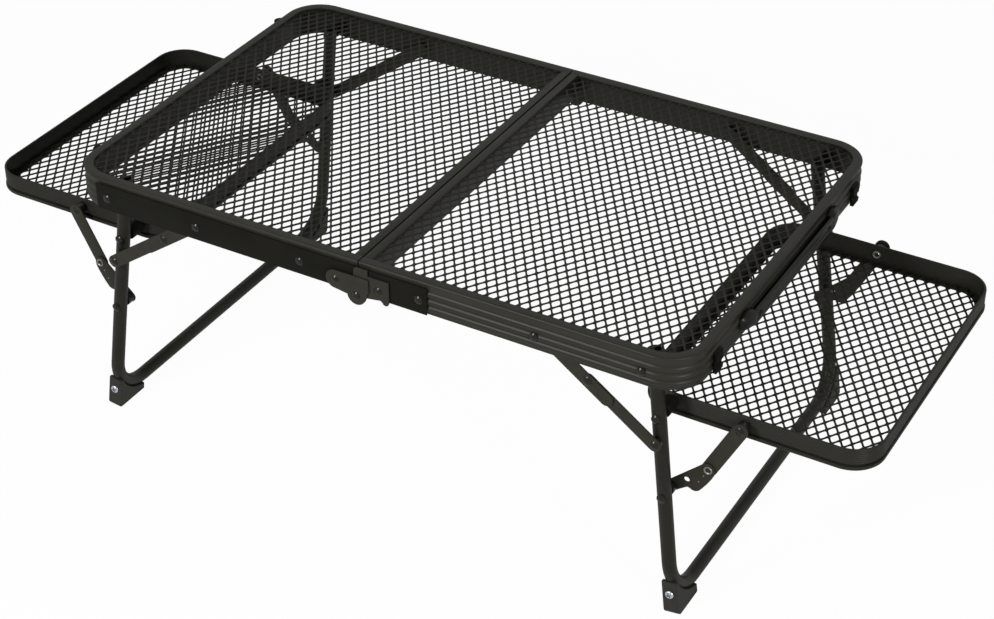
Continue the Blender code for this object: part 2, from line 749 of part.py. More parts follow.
def add_wing_plate(side, end, facing, pivot, coat):
    """The leg's shaped plate, with its pin through the tube and the knuckle's eyelet."""
    near, far = WING_PLATE_Y - STAY_HALF, WING_PLATE_Y + STAY_HALF
    mesh = slab_mesh("wing_stay_plate", wing_plate_outline(), facing * near, facing * far)
    plate = add_object(side + "_" + end + "_wing_stay_plate", mesh, pivot, coat)
    inner, outer = tube_inner(WING_STAY_LEG_DOWN), tube_outer(WING_STAY_LEG_DOWN)
    pin = [(STAY_BUSH_RADIUS, far - SINK), (STAY_BUSH_RADIUS, inner)]
    pin += [(SHANK_RADIUS, inner), (SHANK_RADIUS, outer)] + head(outer, height=LOW_HEAD_HEIGHT)
    eyelet = [(0.0040, far - SINK), (0.0034, far + 0.0010), (0.0019, far + 0.0010), (0.0019, far - SINK)]
    bm = bmesh.new()
    turned(bm, pin, facing)
    turned(bm, eyelet, facing, WING_STAY_PLATE, closed=True)
    join(plate, finish_mesh("wing_stay_plate_rivets", bm))
    cut(plate, hole_mesh([(0.0170, -0.0003)], near - 0.002, far + 0.002, (facing,)))


def handle_mesh():
    """A carry strap with thick ends that stand it off the rail, leaving a finger gap."""
    near = RIM_END + GAP
    bow = RIM_END + HANDLE_BOW
    inner = bow - HANDLE_STRAP
    boss = HANDLE_HALF - HANDLE_BOSS
    outline = [
        (near, -HANDLE_HALF), (bow - 0.003, -HANDLE_HALF), (bow, -HANDLE_HALF + 0.006),
        (bow, HANDLE_HALF - 0.006), (bow - 0.003, HANDLE_HALF), (near, HANDLE_HALF),
        (near, boss), (inner, boss), (inner, -boss), (near, -boss),
    ]
    return slab_mesh("handle", outline, HANDLE_LOW, HANDLE_HIGH, "Z")


def latch_hook_mesh():
    """A catch on the end rail that takes hold of the other half's knob when the top is folded."""
    near = RIM_END + GAP
    profile = [
        (near, 0.2412), (near + 0.0034, 0.2412), (near + 0.0038, 0.2450),
        (near + 0.0030, 0.2590), (near, 0.2612),
    ]
    return slab_mesh("latch_hook", profile, -LATCH_WIDTH / 2, LATCH_WIDTH / 2)


def latch_knob_mesh():
    near = RIM_END + GAP
    centre = near + KNOB_REACH
    outline = [(near, -KNOB_RADIUS)] + arc((centre, 0), KNOB_RADIUS, -90, 90, 8) + [(near, KNOB_RADIUS)]
    return slab_mesh("latch_knob", outline, 0.2545, 0.2680, "Z")


def direction(start, end):
    """Length and angle of the way from one (x, z) point to another."""
    return hypot(end[0] - start[0], end[1] - start[1]), atan2(end[1] - start[1], end[0] - start[0])


def along_leg(down):
    """The (x, z) place on the standing leg at a distance below its pivot."""
    return LEG_PIVOT_X + down * sin(LEG_TILT), LEG_PIVOT_Z - down * cos(LEG_TILT)


def leg_stay_shape():
    """Lengths of two links that lie in one line with the leg out and fold flat with the leg in."""
    reach_out, angle = direction((STAY_RIM_X, STAY_RIM_Z), along_leg(STAY_LEG_DOWN))
    reach_in = LEG_PIVOT_X - STAY_LEG_DOWN - STAY_RIM_X
    return (reach_out - reach_in) / 2, (reach_out + reach_in) / 2, angle


def wing_stay_shape():
    """The bar's length, and the angles of bar and plate at their bent knuckle with the wing up."""
    wing = (WING_STAY_WING_X, WING_STAY_WING_Z)
    leg = along_leg(WING_STAY_LEG_DOWN)
    to_wing_pin = direction((WING_PIVOT_X, WING_PIVOT_Z), wing)[0]
    bar = WING_STAY_PLATE + WING_STAY_LEG_DOWN - WING_PIVOT_DOWN - to_wing_pin
    reach, angle = direction(leg, wing)
    along = (WING_STAY_PLATE ** 2 - bar ** 2 + reach ** 2) / (2 * reach)
    aside = sqrt(WING_STAY_PLATE ** 2 - along ** 2)
    knuckle = (
        leg[0] + along * cos(angle) + aside * sin(angle),
        leg[1] + along * sin(angle) - aside * cos(angle),
    )
    return bar, direction(wing, knuckle)[1], direction(leg, knuckle)[1]


def add_top(side, half, ends, shared, coat):
    rim = add_object(side + "_rim", rim_mesh(RIM_CORNER_STEPS[side]), half, coat)
    cut(rim, shared["rim_holes"])
    add_object(side + "_crossbar", shared["crossbar"], half, coat)
    middle = PANEL_TOP - PANEL_THICKNESS / 2
    net = add_object(side + "_top_net", shared["top_net"], half, coat, (0, 0, middle))
    cut(net, shared["top_openings"])
    for end, facing in ends:
        add_side_plate(side, end, facing, half, coat)
        add_seam_leaf(side, end, facing, half, coat)
        add_leg_pivot(side, end, facing, half, coat)


def add_leg(side, half, ends, shared, coat, black, steel):
    leg = add_empty(side + "_leg_axis", half, (LEG_PIVOT_X, 0, LEG_PIVOT_Z), (0, -LEG_TILT, 0))
    tube = add_object(side + "_leg_tube", shared["leg"], leg, coat)
    cut(tube, shared["leg_holes"])
    for end, facing in ends:
        add_foot(side, end, facing, leg, shared, black, steel)
        add_wing_pivot(side, end, facing, leg, coat)
    return leg


def add_wing(side, leg, shared, coat):
    wing = add_empty(side + "_wing_axis", leg, (0, 0, -WING_PIVOT_DOWN), (0, LEG_TILT, 0))
    rail = add_object(side + "_wing_rail", shared["wing_rail"], wing, coat)
    cut(rail, shared["wing_holes"])
    middle = WING_BOTTOM + WING_LEDGE_HEIGHT + GAP + PANEL_THICKNESS / 2
    net = add_object(side + "_wing_net", shared["wing_net"], wing, coat, (0, 0, middle))
    cut(net, shared["wing_openings"])
    return wing


def add_stays(side, half, leg, wing, ends, coat):
    upper, lower, angle = leg_stay_shape()
    bar, bar_angle, plate_angle = wing_stay_shape()
    upper_axis = add_empty(
        side + "_leg_stay_upper_axis", half, (STAY_RIM_X, 0, STAY_RIM_Z), (0, -angle, 0))
    lower_axis = add_empty(
        side + "_leg_stay_lower_axis", leg, (0, 0, -STAY_LEG_DOWN), (0, LEG_TILT - angle + pi, 0))
    bar_place = (WING_STAY_WING_X - WING_PIVOT_X, 0, WING_STAY_WING_Z - WING_PIVOT_Z)
    bar_axis = add_empty(side + "_wing_stay_bar_axis", wing, bar_place, (0, -bar_angle, 0))
    plate_axis = add_empty(
        side + "_wing_stay_plate_axis", leg, (0, 0, -WING_STAY_LEG_DOWN), (0, LEG_TILT - plate_angle, 0))
    for end, facing in ends:
        add_leg_stay_upper(side, end, facing, upper_axis, upper, coat)
        add_leg_stay_lower(side, end, facing, lower_axis, lower, coat)
        add_wing_bar(side, end, facing, bar_axis, bar, coat)
        add_wing_plate(side, end, facing, plate_axis, coat)


def shared_meshes():
    rim_places = [(LEG_PIVOT_X, LEG_PIVOT_Z), (STAY_RIM_X, STAY_RIM_Z)]
    wing_places = [(0, 0), (WING_STAY_WING_X - WING_PIVOT_X, WING_STAY_WING_Z - WING_PIVOT_Z)]
    return {
        "rim_holes": hole_mesh(rim_places, WALL_INNER - 0.002, RIM_FACE + 0.002),
        "crossbar": crossbar_mesh(),
        "top_net": top_net_mesh(),
        "top_openings": top_openings_mesh(),
        "leg": leg_mesh(),
        "leg_holes": leg_holes_mesh(),
        "tube_clearance": tube_clearance_mesh(),
        "wing_rail": wing_rail_mesh(),
        "wing_holes": hole_mesh(wing_places, WING_WALL_INNER - 0.002, WING_HALF_DEPTH + 0.002),
        "wing_net": wing_net_mesh(),
        "wing_openings": wing_openings_mesh(),
    }


def build_table():
    for thing in list(bpy.data.objects):
        bpy.data.objects.remove(thing)
    coat = new_material("powder_coat", (0.060, 0.060, 0.055), 0.42, 0.25)
    black = new_material("black_plastic", (0.022, 0.022, 0.022), 0.45, 0.0)
    steel = new_material("bright_steel", (0.72, 0.73, 0.74), 0.25, 1.0)
    shared = shared_meshes()
    halves = {}
    for side, turn in (("left", pi), ("right", 0.0)):
        half = add_empty(side + "_half", turn=(0, 0, turn))
        front = 1 if side == "left" else -1
        ends = (("front", front), ("back", -front))
        add_top(side, half, ends, shared, coat)
        leg = add_leg(side, half, ends, shared, coat, black, steel)
        wing = add_wing(side, leg, shared, coat)
        add_stays(side, half, leg, wing, ends, coat)
        halves[side] = half
    for end, facing in (("front", 1), ("back", -1)):
        pin_place = (0, 0, SEAM_PIVOT_HEIGHT)
        add_object("seam_" + end + "_pin", seam_pin_mesh(facing), halves["left"], coat, pin_place)
        knob_place = (0, facing * LATCH_Y, 0)
        add_object("left_" + end + "_latch_knob", latch_knob_mesh(), halves["left"], coat, knob_place)
        hook_place = (0, -facing * LATCH_Y, 0)
        add_object("right_" + end + "_latch_hook", latch_hook_mesh(), halves["right"], coat, hook_place)
    add_object("carry_handle", handle_mesh(), halves["right"], black)


build_table()
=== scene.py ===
import json
from math import acos, asin, atan2, cos, degrees, hypot, pi, radians, sin, sqrt

import bmesh
import bpy
from mathutils import Matrix, Vector

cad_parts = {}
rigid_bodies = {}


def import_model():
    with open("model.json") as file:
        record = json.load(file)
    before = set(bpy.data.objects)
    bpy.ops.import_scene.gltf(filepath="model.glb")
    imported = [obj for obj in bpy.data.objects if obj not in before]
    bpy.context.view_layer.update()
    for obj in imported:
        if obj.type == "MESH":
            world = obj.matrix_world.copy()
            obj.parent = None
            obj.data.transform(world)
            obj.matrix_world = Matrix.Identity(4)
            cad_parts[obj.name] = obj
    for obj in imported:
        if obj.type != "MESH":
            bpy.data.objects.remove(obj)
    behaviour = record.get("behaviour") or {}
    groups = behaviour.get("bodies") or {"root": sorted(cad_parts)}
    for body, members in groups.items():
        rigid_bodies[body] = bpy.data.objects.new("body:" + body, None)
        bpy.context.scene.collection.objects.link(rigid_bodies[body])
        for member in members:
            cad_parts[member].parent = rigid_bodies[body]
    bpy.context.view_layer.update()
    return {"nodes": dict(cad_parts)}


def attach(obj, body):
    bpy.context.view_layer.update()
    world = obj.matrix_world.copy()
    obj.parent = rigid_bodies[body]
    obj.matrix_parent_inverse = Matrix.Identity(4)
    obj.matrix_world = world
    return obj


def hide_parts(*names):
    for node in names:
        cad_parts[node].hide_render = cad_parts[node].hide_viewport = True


for leftover in [thing for thing in bpy.data.objects if thing.name in ("Cube", "Light", "Camera")]:
    bpy.data.objects.remove(leftover)
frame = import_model()
print("frame loaded:", len(frame["nodes"]), "nodes")

# Where the main parts are, in metres, each side built outward along its own +X
layout = {
    "top": 0.2725,
    "halfLength": 0.310,
    "halfDepth": 0.195,
    "seam": 0.0006,
    "gap": 0.0003,
    "legTilt": radians(7.6),
    "legPivot": (0.2665, 0.2535),
    "legY": 0.172,
    "legYDown": 0.070,
    "legSplay": 0.045,
    "wingDown": 0.0569,
    "legStayRim": (0.169, 0.2535),
    "legStayDown": 0.0781,
    "wingStayWing": (0.3402, 0.1965),
    "wingStayDown": 0.1345,
    "wingPlateLength": 0.0424,
    "seamPivot": 0.240,
}
rimBottom = layout["top"] - 0.032
sides = ("left", "right")


# Node trees: settings are keywords, inputs are sockets or values

def addNode(tree, kind, inputs=None, **settings):
    node = tree.nodes.new(kind)
    for name, value in settings.items():
        setattr(node, name, value)
    for key, value in (inputs or {}).items():
        if isinstance(value, bpy.types.NodeSocket):
            tree.links.new(value, node.inputs[key])
        else:
            node.inputs[key].default_value = value
    return node


def vectorMath(tree, operation, first, second=None):
    inputs = {0: first}
    if second is not None:
        inputs[1] = second
    return addNode(tree, "ShaderNodeVectorMath", inputs, operation=operation).outputs[0]


def numberMath(tree, operation, first, second):
    return addNode(tree, "ShaderNodeMath", {0: first, 1: second}, operation=operation).outputs[0]


def newGroup(name, kind, inputs, outputs):
    group = bpy.data.node_groups.new(name, kind)
    for inOut, sockets in (("INPUT", inputs), ("OUTPUT", outputs)):
        for label, socketKind in sockets.items():
            group.interface.new_socket(label, in_out=inOut, socket_type="NodeSocket" + socketKind)
    return group, group.nodes.new("NodeGroupInput").outputs, group.nodes.new("NodeGroupOutput")


def buildCoatGroup():
    group, given, result = newGroup("surfaceCoat", "ShaderNodeTree", {
        "Place": "Vector", "Colour": "Color", "Patch Colour": "Color", "Speck Colour": "Color",
        "Patch Size": "Float", "Grain Size": "Float", "Roughness": "Float", "Roughness Spread": "Float",
        "Speck Share": "Float",
    }, {"Colour": "Color", "Roughness": "Float", "Height": "Float"})
    patchScale = numberMath(group, "DIVIDE", 1.0, given["Patch Size"])
    grainScale = numberMath(group, "DIVIDE", 1.0, given["Grain Size"])
    patches = addNode(group, "ShaderNodeTexNoise", {
        "Vector": given["Place"], "Scale": patchScale, "Detail": 5.0, "Roughness": 0.6})
    grain = addNode(group, "ShaderNodeTexNoise", {
        "Vector": given["Place"], "Scale": grainScale, "Detail": 3.0, "Roughness": 0.55})
    specks = addNode(group, "ShaderNodeTexVoronoi", {
        "Vector": given["Place"], "Scale": grainScale}, feature="F1")
    patchMask = addNode(group, "ShaderNodeMapRange", {
        "Value": patches.outputs["Fac"], "From Min": 0.32, "From Max": 0.68})
    speckMask = addNode(group, "ShaderNodeMapRange", {
        "Value": specks.outputs["Distance"], "From Min": 0.10, "From Max": 0.34,
        "To Min": given["Speck Share"], "To Max": 0.0})
    base = addNode(group, "ShaderNodeMix", {
        0: patchMask.outputs[0], 6: given["Colour"], 7: given["Patch Colour"]}, data_type="RGBA")
    speckled = addNode(group, "ShaderNodeMix", {
        0: speckMask.outputs[0], 6: base.outputs[2], 7: given["Speck Colour"]}, data_type="RGBA")
    lift = addNode(group, "ShaderNodeMath", {
        0: patches.outputs["Fac"], 1: given["Roughness Spread"], 2: given["Roughness"],
    }, operation="MULTIPLY_ADD")
    group.links.new(speckled.outputs[2], result.inputs["Colour"])
    group.links.new(lift.outputs[0], result.inputs["Roughness"])
    group.links.new(grain.outputs["Fac"], result.inputs["Height"])
    return group


coatGroup = buildCoatGroup()

# Finishes: colours are linear, sizes in metres; bump is the depth of the grain
plainFinish = {
    "grainSize": 0.00045, "spread": 0.12, "specks": 0.2, "bump": 0.00003, "metallic": 0.0, "grazing": 0.12,
}
glossFade = (0.42, 0.72)  # the Facing values between which the gloss falls to its grazing share
finishes = {
    "rimCoat": {
        "colour": (0.0165, 0.0158, 0.0122), "patch": (0.0210, 0.0202, 0.0158),
        "speck": (0.045, 0.044, 0.038), "patchSize": 0.05, "roughness": 0.32, "spread": 0.10,
        "specks": 0.25, "specular": 0.11,
    },
    "plateCoat": {
        "colour": (0.0068, 0.0066, 0.0051), "patch": (0.0090, 0.0087, 0.0068),
        "speck": (0.03, 0.029, 0.026), "patchSize": 0.04, "roughness": 0.42, "specular": 0.025,
    },
    "netCoat": {
        "colour": (0.0125, 0.0120, 0.0094), "patch": (0.0170, 0.0163, 0.0129),
        "speck": (0.05, 0.049, 0.043), "patchSize": 0.02, "grainSize": 0.0004, "roughness": 0.34,
        "spread": 0.14, "specks": 0.25, "specular": 0.06,
    },
    "wingCoat": {
        "colour": (0.0120, 0.0116, 0.0091), "patch": (0.0158, 0.0152, 0.0120),
        "speck": (0.04, 0.039, 0.034), "patchSize": 0.05, "roughness": 0.32, "specks": 0.25,
        "specular": 0.10,
    },
    "tubeCoat": {
        "colour": (0.0100, 0.0095, 0.0072), "patch": (0.0138, 0.0131, 0.0101),
        "speck": (0.045, 0.043, 0.037), "patchSize": 0.03, "grainSize": 0.0005, "roughness": 0.30,
        "spread": 0.14, "specks": 0.25, "bump": 0.00004, "specular": 0.10, "grazing": 0.25,
    },
    "stayCoat": {
        "colour": (0.0190, 0.0182, 0.0141), "patch": (0.0240, 0.0230, 0.0180),
        "speck": (0.045, 0.043, 0.037), "patchSize": 0.02, "roughness": 0.38, "spread": 0.14,
        "specks": 0.25, "specular": 0.08,
    },
    "rivetCoat": {
        "colour": (0.0070, 0.0067, 0.0054), "patch": (0.0100, 0.0096, 0.0080), "speck": (0.12, 0.12, 0.11),
        "patchSize": 0.004, "grainSize": 0.0004, "roughness": 0.16, "spread": 0.08, "bump": 0.00002,
        "specular": 0.16, "grazing": 0.3,
    },
    # near-black with almost no gloss: painted shade, so the bushes read as the shaded gap between leg tube and
    # wing rail
    "bushCoat": {
        "colour": (0.0065, 0.0063, 0.0052), "patch": (0.0090, 0.0087, 0.0073), "speck": (0.03, 0.03, 0.026),
        "patchSize": 0.006, "grainSize": 0.0004, "roughness": 0.36, "specular": 0.02,
    },
    "footPlastic": {
        "colour": (0.0160, 0.0155, 0.0125), "patch": (0.0205, 0.0199, 0.0162),
        "speck": (0.035, 0.034, 0.030), "patchSize": 0.012, "grainSize": 0.0005, "roughness": 0.46,
        "spread": 0.10, "bump": 0.00006, "specular": 0.13,
    },
    "handlePlastic": {
        "colour": (0.0080, 0.0078, 0.0064), "patch": (0.0110, 0.0107, 0.0088),
        "speck": (0.025, 0.025, 0.021), "patchSize": 0.015, "grainSize": 0.0005, "roughness": 0.24,
        "spread": 0.10, "specular": 0.12,
    },
    # near-black: partly the latches' own dark plastic, partly painted shade of the dark notch at each hook
    "latchPlastic": {
        "colour": (0.0040, 0.0040, 0.0036), "patch": (0.0058, 0.0058, 0.0052),
        "speck": (0.015, 0.015, 0.014), "patchSize": 0.01, "grainSize": 0.0005, "roughness": 0.40,
        "spread": 0.10, "bump": 0.00004, "specular": 0.03,
    },
    "eyeletSteel": {
        "colour": (0.22, 0.215, 0.20), "patch": (0.15, 0.146, 0.138), "speck": (0.25, 0.25, 0.24),
        "patchSize": 0.002, "grainSize": 0.0003, "roughness": 0.3, "spread": 0.16, "bump": 0.00001,
        "metallic": 1.0, "specular": 0.5, "grazing": 1.0,
    },
    "screwSteel": {
        "colour": (0.46, 0.48, 0.51), "patch": (0.34, 0.36, 0.39), "speck": (0.35, 0.35, 0.36),
        "patchSize": 0.002, "grainSize": 0.0003, "roughness": 0.24, "spread": 0.16, "bump": 0.00001,
        "metallic": 1.0, "specular": 0.5, "grazing": 1.0,
    },
}


def makeFinish(name, values):
    material = bpy.data.materials.new(name)
    material.use_nodes = True
    tree = material.node_tree
    shader = tree.nodes["Principled BSDF"]
    place = addNode(tree, "ShaderNodeTexCoord")
    coat = addNode(tree, "ShaderNodeGroup", {
        "Place": place.outputs["Object"], "Colour": (*values["colour"], 1),
        "Patch Colour": (*values["patch"], 1), "Speck Colour": (*values["speck"], 1),
        "Patch Size": values["patchSize"], "Grain Size": values["grainSize"],
        "Roughness": values["roughness"], "Roughness Spread": values["spread"],
        "Speck Share": values["specks"]}, node_tree=coatGroup)
    bump = addNode(tree, "ShaderNodeBump", {"Height": coat.outputs["Height"], "Distance": values["bump"]})
    tree.links.new(coat.outputs["Colour"], shader.inputs["Base Color"])
    tree.links.new(coat.outputs["Roughness"], shader.inputs["Roughness"])
    tree.links.new(bump.outputs["Normal"], shader.inputs["Normal"])
    shader.inputs["Metallic"].default_value = values["metallic"]
    shader.inputs["Specular IOR Level"].default_value = values["specular"]
    facing = addNode(tree, "ShaderNodeLayerWeight", {"Blend": 0.5})
    gloss = addNode(tree, "ShaderNodeMapRange", {
        "Value": facing.outputs["Facing"], "From Min": glossFade[0], "From Max": glossFade[1],
        "To Min": values["specular"], "To Max": values["specular"] * values["grazing"]})
    tree.links.new(gloss.outputs[0], shader.inputs["Specular IOR Level"])
    material.diffuse_color = (*values["colour"], 1)
    return material


materials = {name: makeFinish(name, {**plainFinish, **values}) for name, values in finishes.items()}
print("finishes made:", len(materials))


# Shapes

def snake(name):
    return "".join("_" + letter.lower() if letter.isupper() else letter for letter in name).lstrip("_")


def newObject(name, data):
    thing = bpy.data.objects.new(name, data)
    bpy.context.scene.collection.objects.link(thing)
    return thing


def helperObject(name, mesh):
    helper = newObject(name, mesh)
    helper.hide_render = True
    return helper


def joinRings(bm, rings, closed):
    pairs = list(zip(rings, rings[1:]))
    if closed:
        pairs.append((rings[-1], rings[0]))
    for ring, following in pairs:
        for index in range(len(ring)):
            after = (index + 1) % len(ring)
            bm.faces.new((ring[index], ring[after], following[after], following[index]))


def arcPoints(centre, radius, start, end, steps):
    points = []
    for step in range(steps + 1):
        angle = radians(start + (end - start) * step / steps)
        points.append((centre[0] + radius * cos(angle), centre[1] + radius * sin(angle)))
    return points


def boxOutline(lowA, highA, lowB, highB):
    return [(lowA, lowB), (highA, lowB), (highA, highB), (lowA, highB)]


def circleHole(a, b, radius, steps=20):
    return [(a + radius * cos(angle), b - radius * sin(angle)) for angle in roundAngles(steps)]


def rightOf(start, end):
    along = (Vector(end) - Vector(start)).normalized()
    return Vector((along.y, -along.x))


def roundedPath(corners, radius, steps, closed):
    count = len(corners)
    stations = []
    if not closed:
        stations.append((Vector(corners[0]), rightOf(corners[0], corners[1])))
    for index in range(count) if closed else range(1, count - 1):
        corner = Vector(corners[index])
        wayIn = (corner - Vector(corners[index - 1])).normalized()
        wayOut = (Vector(corners[(index + 1) % count]) - corner).normalized()
        angle = wayIn.angle(wayOut)
        start = corner - wayIn * radius * sin(angle / 2) / cos(angle / 2)
        centre = start + Vector((-wayIn.y, wayIn.x)) * radius
        for step in range(steps + 1):
            normal = Matrix.Rotation(angle * step / steps, 2) @ Vector((wayIn.y, -wayIn.x))
            stations.append((centre + normal * radius, normal))
    if not closed:
        stations.append((Vector(corners[-1]), rightOf(corners[-2], corners[-1])))
    return stations


def loft(bm, loops, closed=False, capped=True):
    rings = [[bm.verts.new(point) for point in loop] for loop in loops]
    joinRings(bm, rings, closed)
    if capped and not closed:
        bm.faces.new(rings[0])
        bm.faces.new(rings[-1])
    return rings


def sweepLevel(bm, stations, profile, closed):
    loops = []
    for point, normal in stations:
        spots = [(point + normal * outward, up) for outward, up in profile]
        loops.append([(spot.x, spot.y, up) for spot, up in spots])
    loft(bm, loops, closed)


def facingY(facing):
    return lambda a, b, level: (a, facing * level, b)


def facingZ(a, b, level):
    return (a, b, level)


def roundAngles(count):
    return [2 * pi * step / count for step in range(count)]


def turned(bm, profile, place, a=0.0, b=0.0, sideCount=24, closed=False):
    angles = roundAngles(sideCount)
    loft(bm, [[place(a + radius * cos(angle), b + radius * sin(angle), along) for angle in angles]
              for radius, along in profile], closed)


def turnedPair(bm, profile, a=0.0, b=0.0, sideCount=24, closed=False):
    for facing in (-1, 1):
        turned(bm, profile, facingY(facing), a, b, sideCount, closed)
    return bm


def offsetLoop(loop, distance):
    moved = []
    for before, here, after in zip(loop[-1:] + loop[:-1], loop, loop[1:] + loop[:1]):
        wayIn = (Vector(here) - Vector(before)).normalized()
        wayOut = (Vector(after) - Vector(here)).normalized()
        normalIn = Vector((-wayIn.y, wayIn.x))
        middle = normalIn + Vector((-wayOut.y, wayOut.x))
        middle.normalize()
        reach = distance / max(0.4, middle.dot(normalIn))
        moved.append((here[0] + middle.x * reach, here[1] + middle.y * reach))
    return moved


def plate(bm, loops, low, high, edge, place):
    layers = [(edge, low), (edge * 0.29, low + edge * 0.29), (0, low + edge)]
    layers += [(0, high - edge), (edge * 0.29, high - edge * 0.29), (edge, high)]
    ends = ([], [])
    for loop in loops:
        levels = [[place(a, b, level) for a, b in offsetLoop(loop, inset)] for inset, level in layers]
        rings = loft(bm, levels, capped=False)
        ends[0].append(rings[0])
        ends[1].append(rings[-1])
    for end in ends:
        edges = [bm.edges.get(pair) for ring in end for pair in zip(ring, ring[1:] + ring[:1])]
        bmesh.ops.triangle_fill(bm, edges=edges, use_beauty=True)


def platePair(bm, loops, low, high, edge):
    for facing in (-1, 1):
        plate(bm, loops, low, high, edge, facingY(facing))
    return bm


def meshOf(name, bm, smoothAngle=34):
    bmesh.ops.recalc_face_normals(bm, faces=bm.faces)
    mesh = bpy.data.meshes.new(name)
    bm.to_mesh(mesh)
    bm.free()
    mesh.shade_smooth()
    mesh.set_sharp_from_angle(angle=radians(smoothAngle))
    return mesh


def finalMesh(thing):
    graph = bpy.context.evaluated_depsgraph_get()
    mesh = bpy.data.meshes.new_from_object(thing.evaluated_get(graph), depsgraph=graph)
    bpy.data.objects.remove(thing)
    return mesh


def settle(name, mesh, matrix, finish, body, nodes):
    mesh.transform(matrix)
    mesh.materials.clear()
    mesh.materials.append(materials[finish])
    piece = newObject(name, mesh)
    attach(piece, body)
    if nodes:
        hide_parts(*nodes)


def placePiece(side, name, mesh, part, finish, nodes=(), matrix=None):
    if matrix is None:
        matrix = legPlace(side) if part == "leg" else sideTurn[side]
    settle(side + name, mesh, matrix, finish, side + "_" + part, [side + "_" + node for node in nodes])


def makePiece(side, name, bm, part, finish, nodes=(), smoothAngle=34, matrix=None):
    placePiece(side, name, meshOf(side + name, bm, smoothAngle), part, finish, nodes, matrix)


def bothEnds(stem):
    return ["front_" + stem, "back_" + stem]


sideTurn = {"right": Matrix.Identity(4), "left": Matrix.Rotation(pi, 4, "Z")}


def placeAt(side, x, z, turn=0.0):
    return sideTurn[side] @ Matrix.Translation((x, 0, z)) @ Matrix.Rotation(turn, 4, "Y")


def alongLeg(down):
    x, z = layout["legPivot"]
    return x + down * sin(layout["legTilt"]), z - down * cos(layout["legTilt"])


def legY(down):
    return layout["legY"] + layout["legSplay"] * (down - layout["legYDown"])


def tubeFaces(down):
    reach = leg["radius"] + 2 * layout["gap"]
    return legY(down) - reach, legY(down) + reach


def wayTo(start, end):
    return hypot(end[0] - start[0], end[1] - start[1]), atan2(end[1] - start[1], end[0] - start[0])


# Geometry node trees for what repeats

def newTree(name, inputs):
    tree, given, result = newGroup(name, "GeometryNodeTree", inputs, {"Geometry": "Geometry"})
    tree.is_modifier = True
    return tree, given, result


def coatResult(tree, last, given, result):
    coated = addNode(tree, "GeometryNodeSetMaterial", {"Geometry": last.outputs[0], "Material": given["Coat"]})
    tree.links.new(coated.outputs[0], result.inputs[0])
    return tree


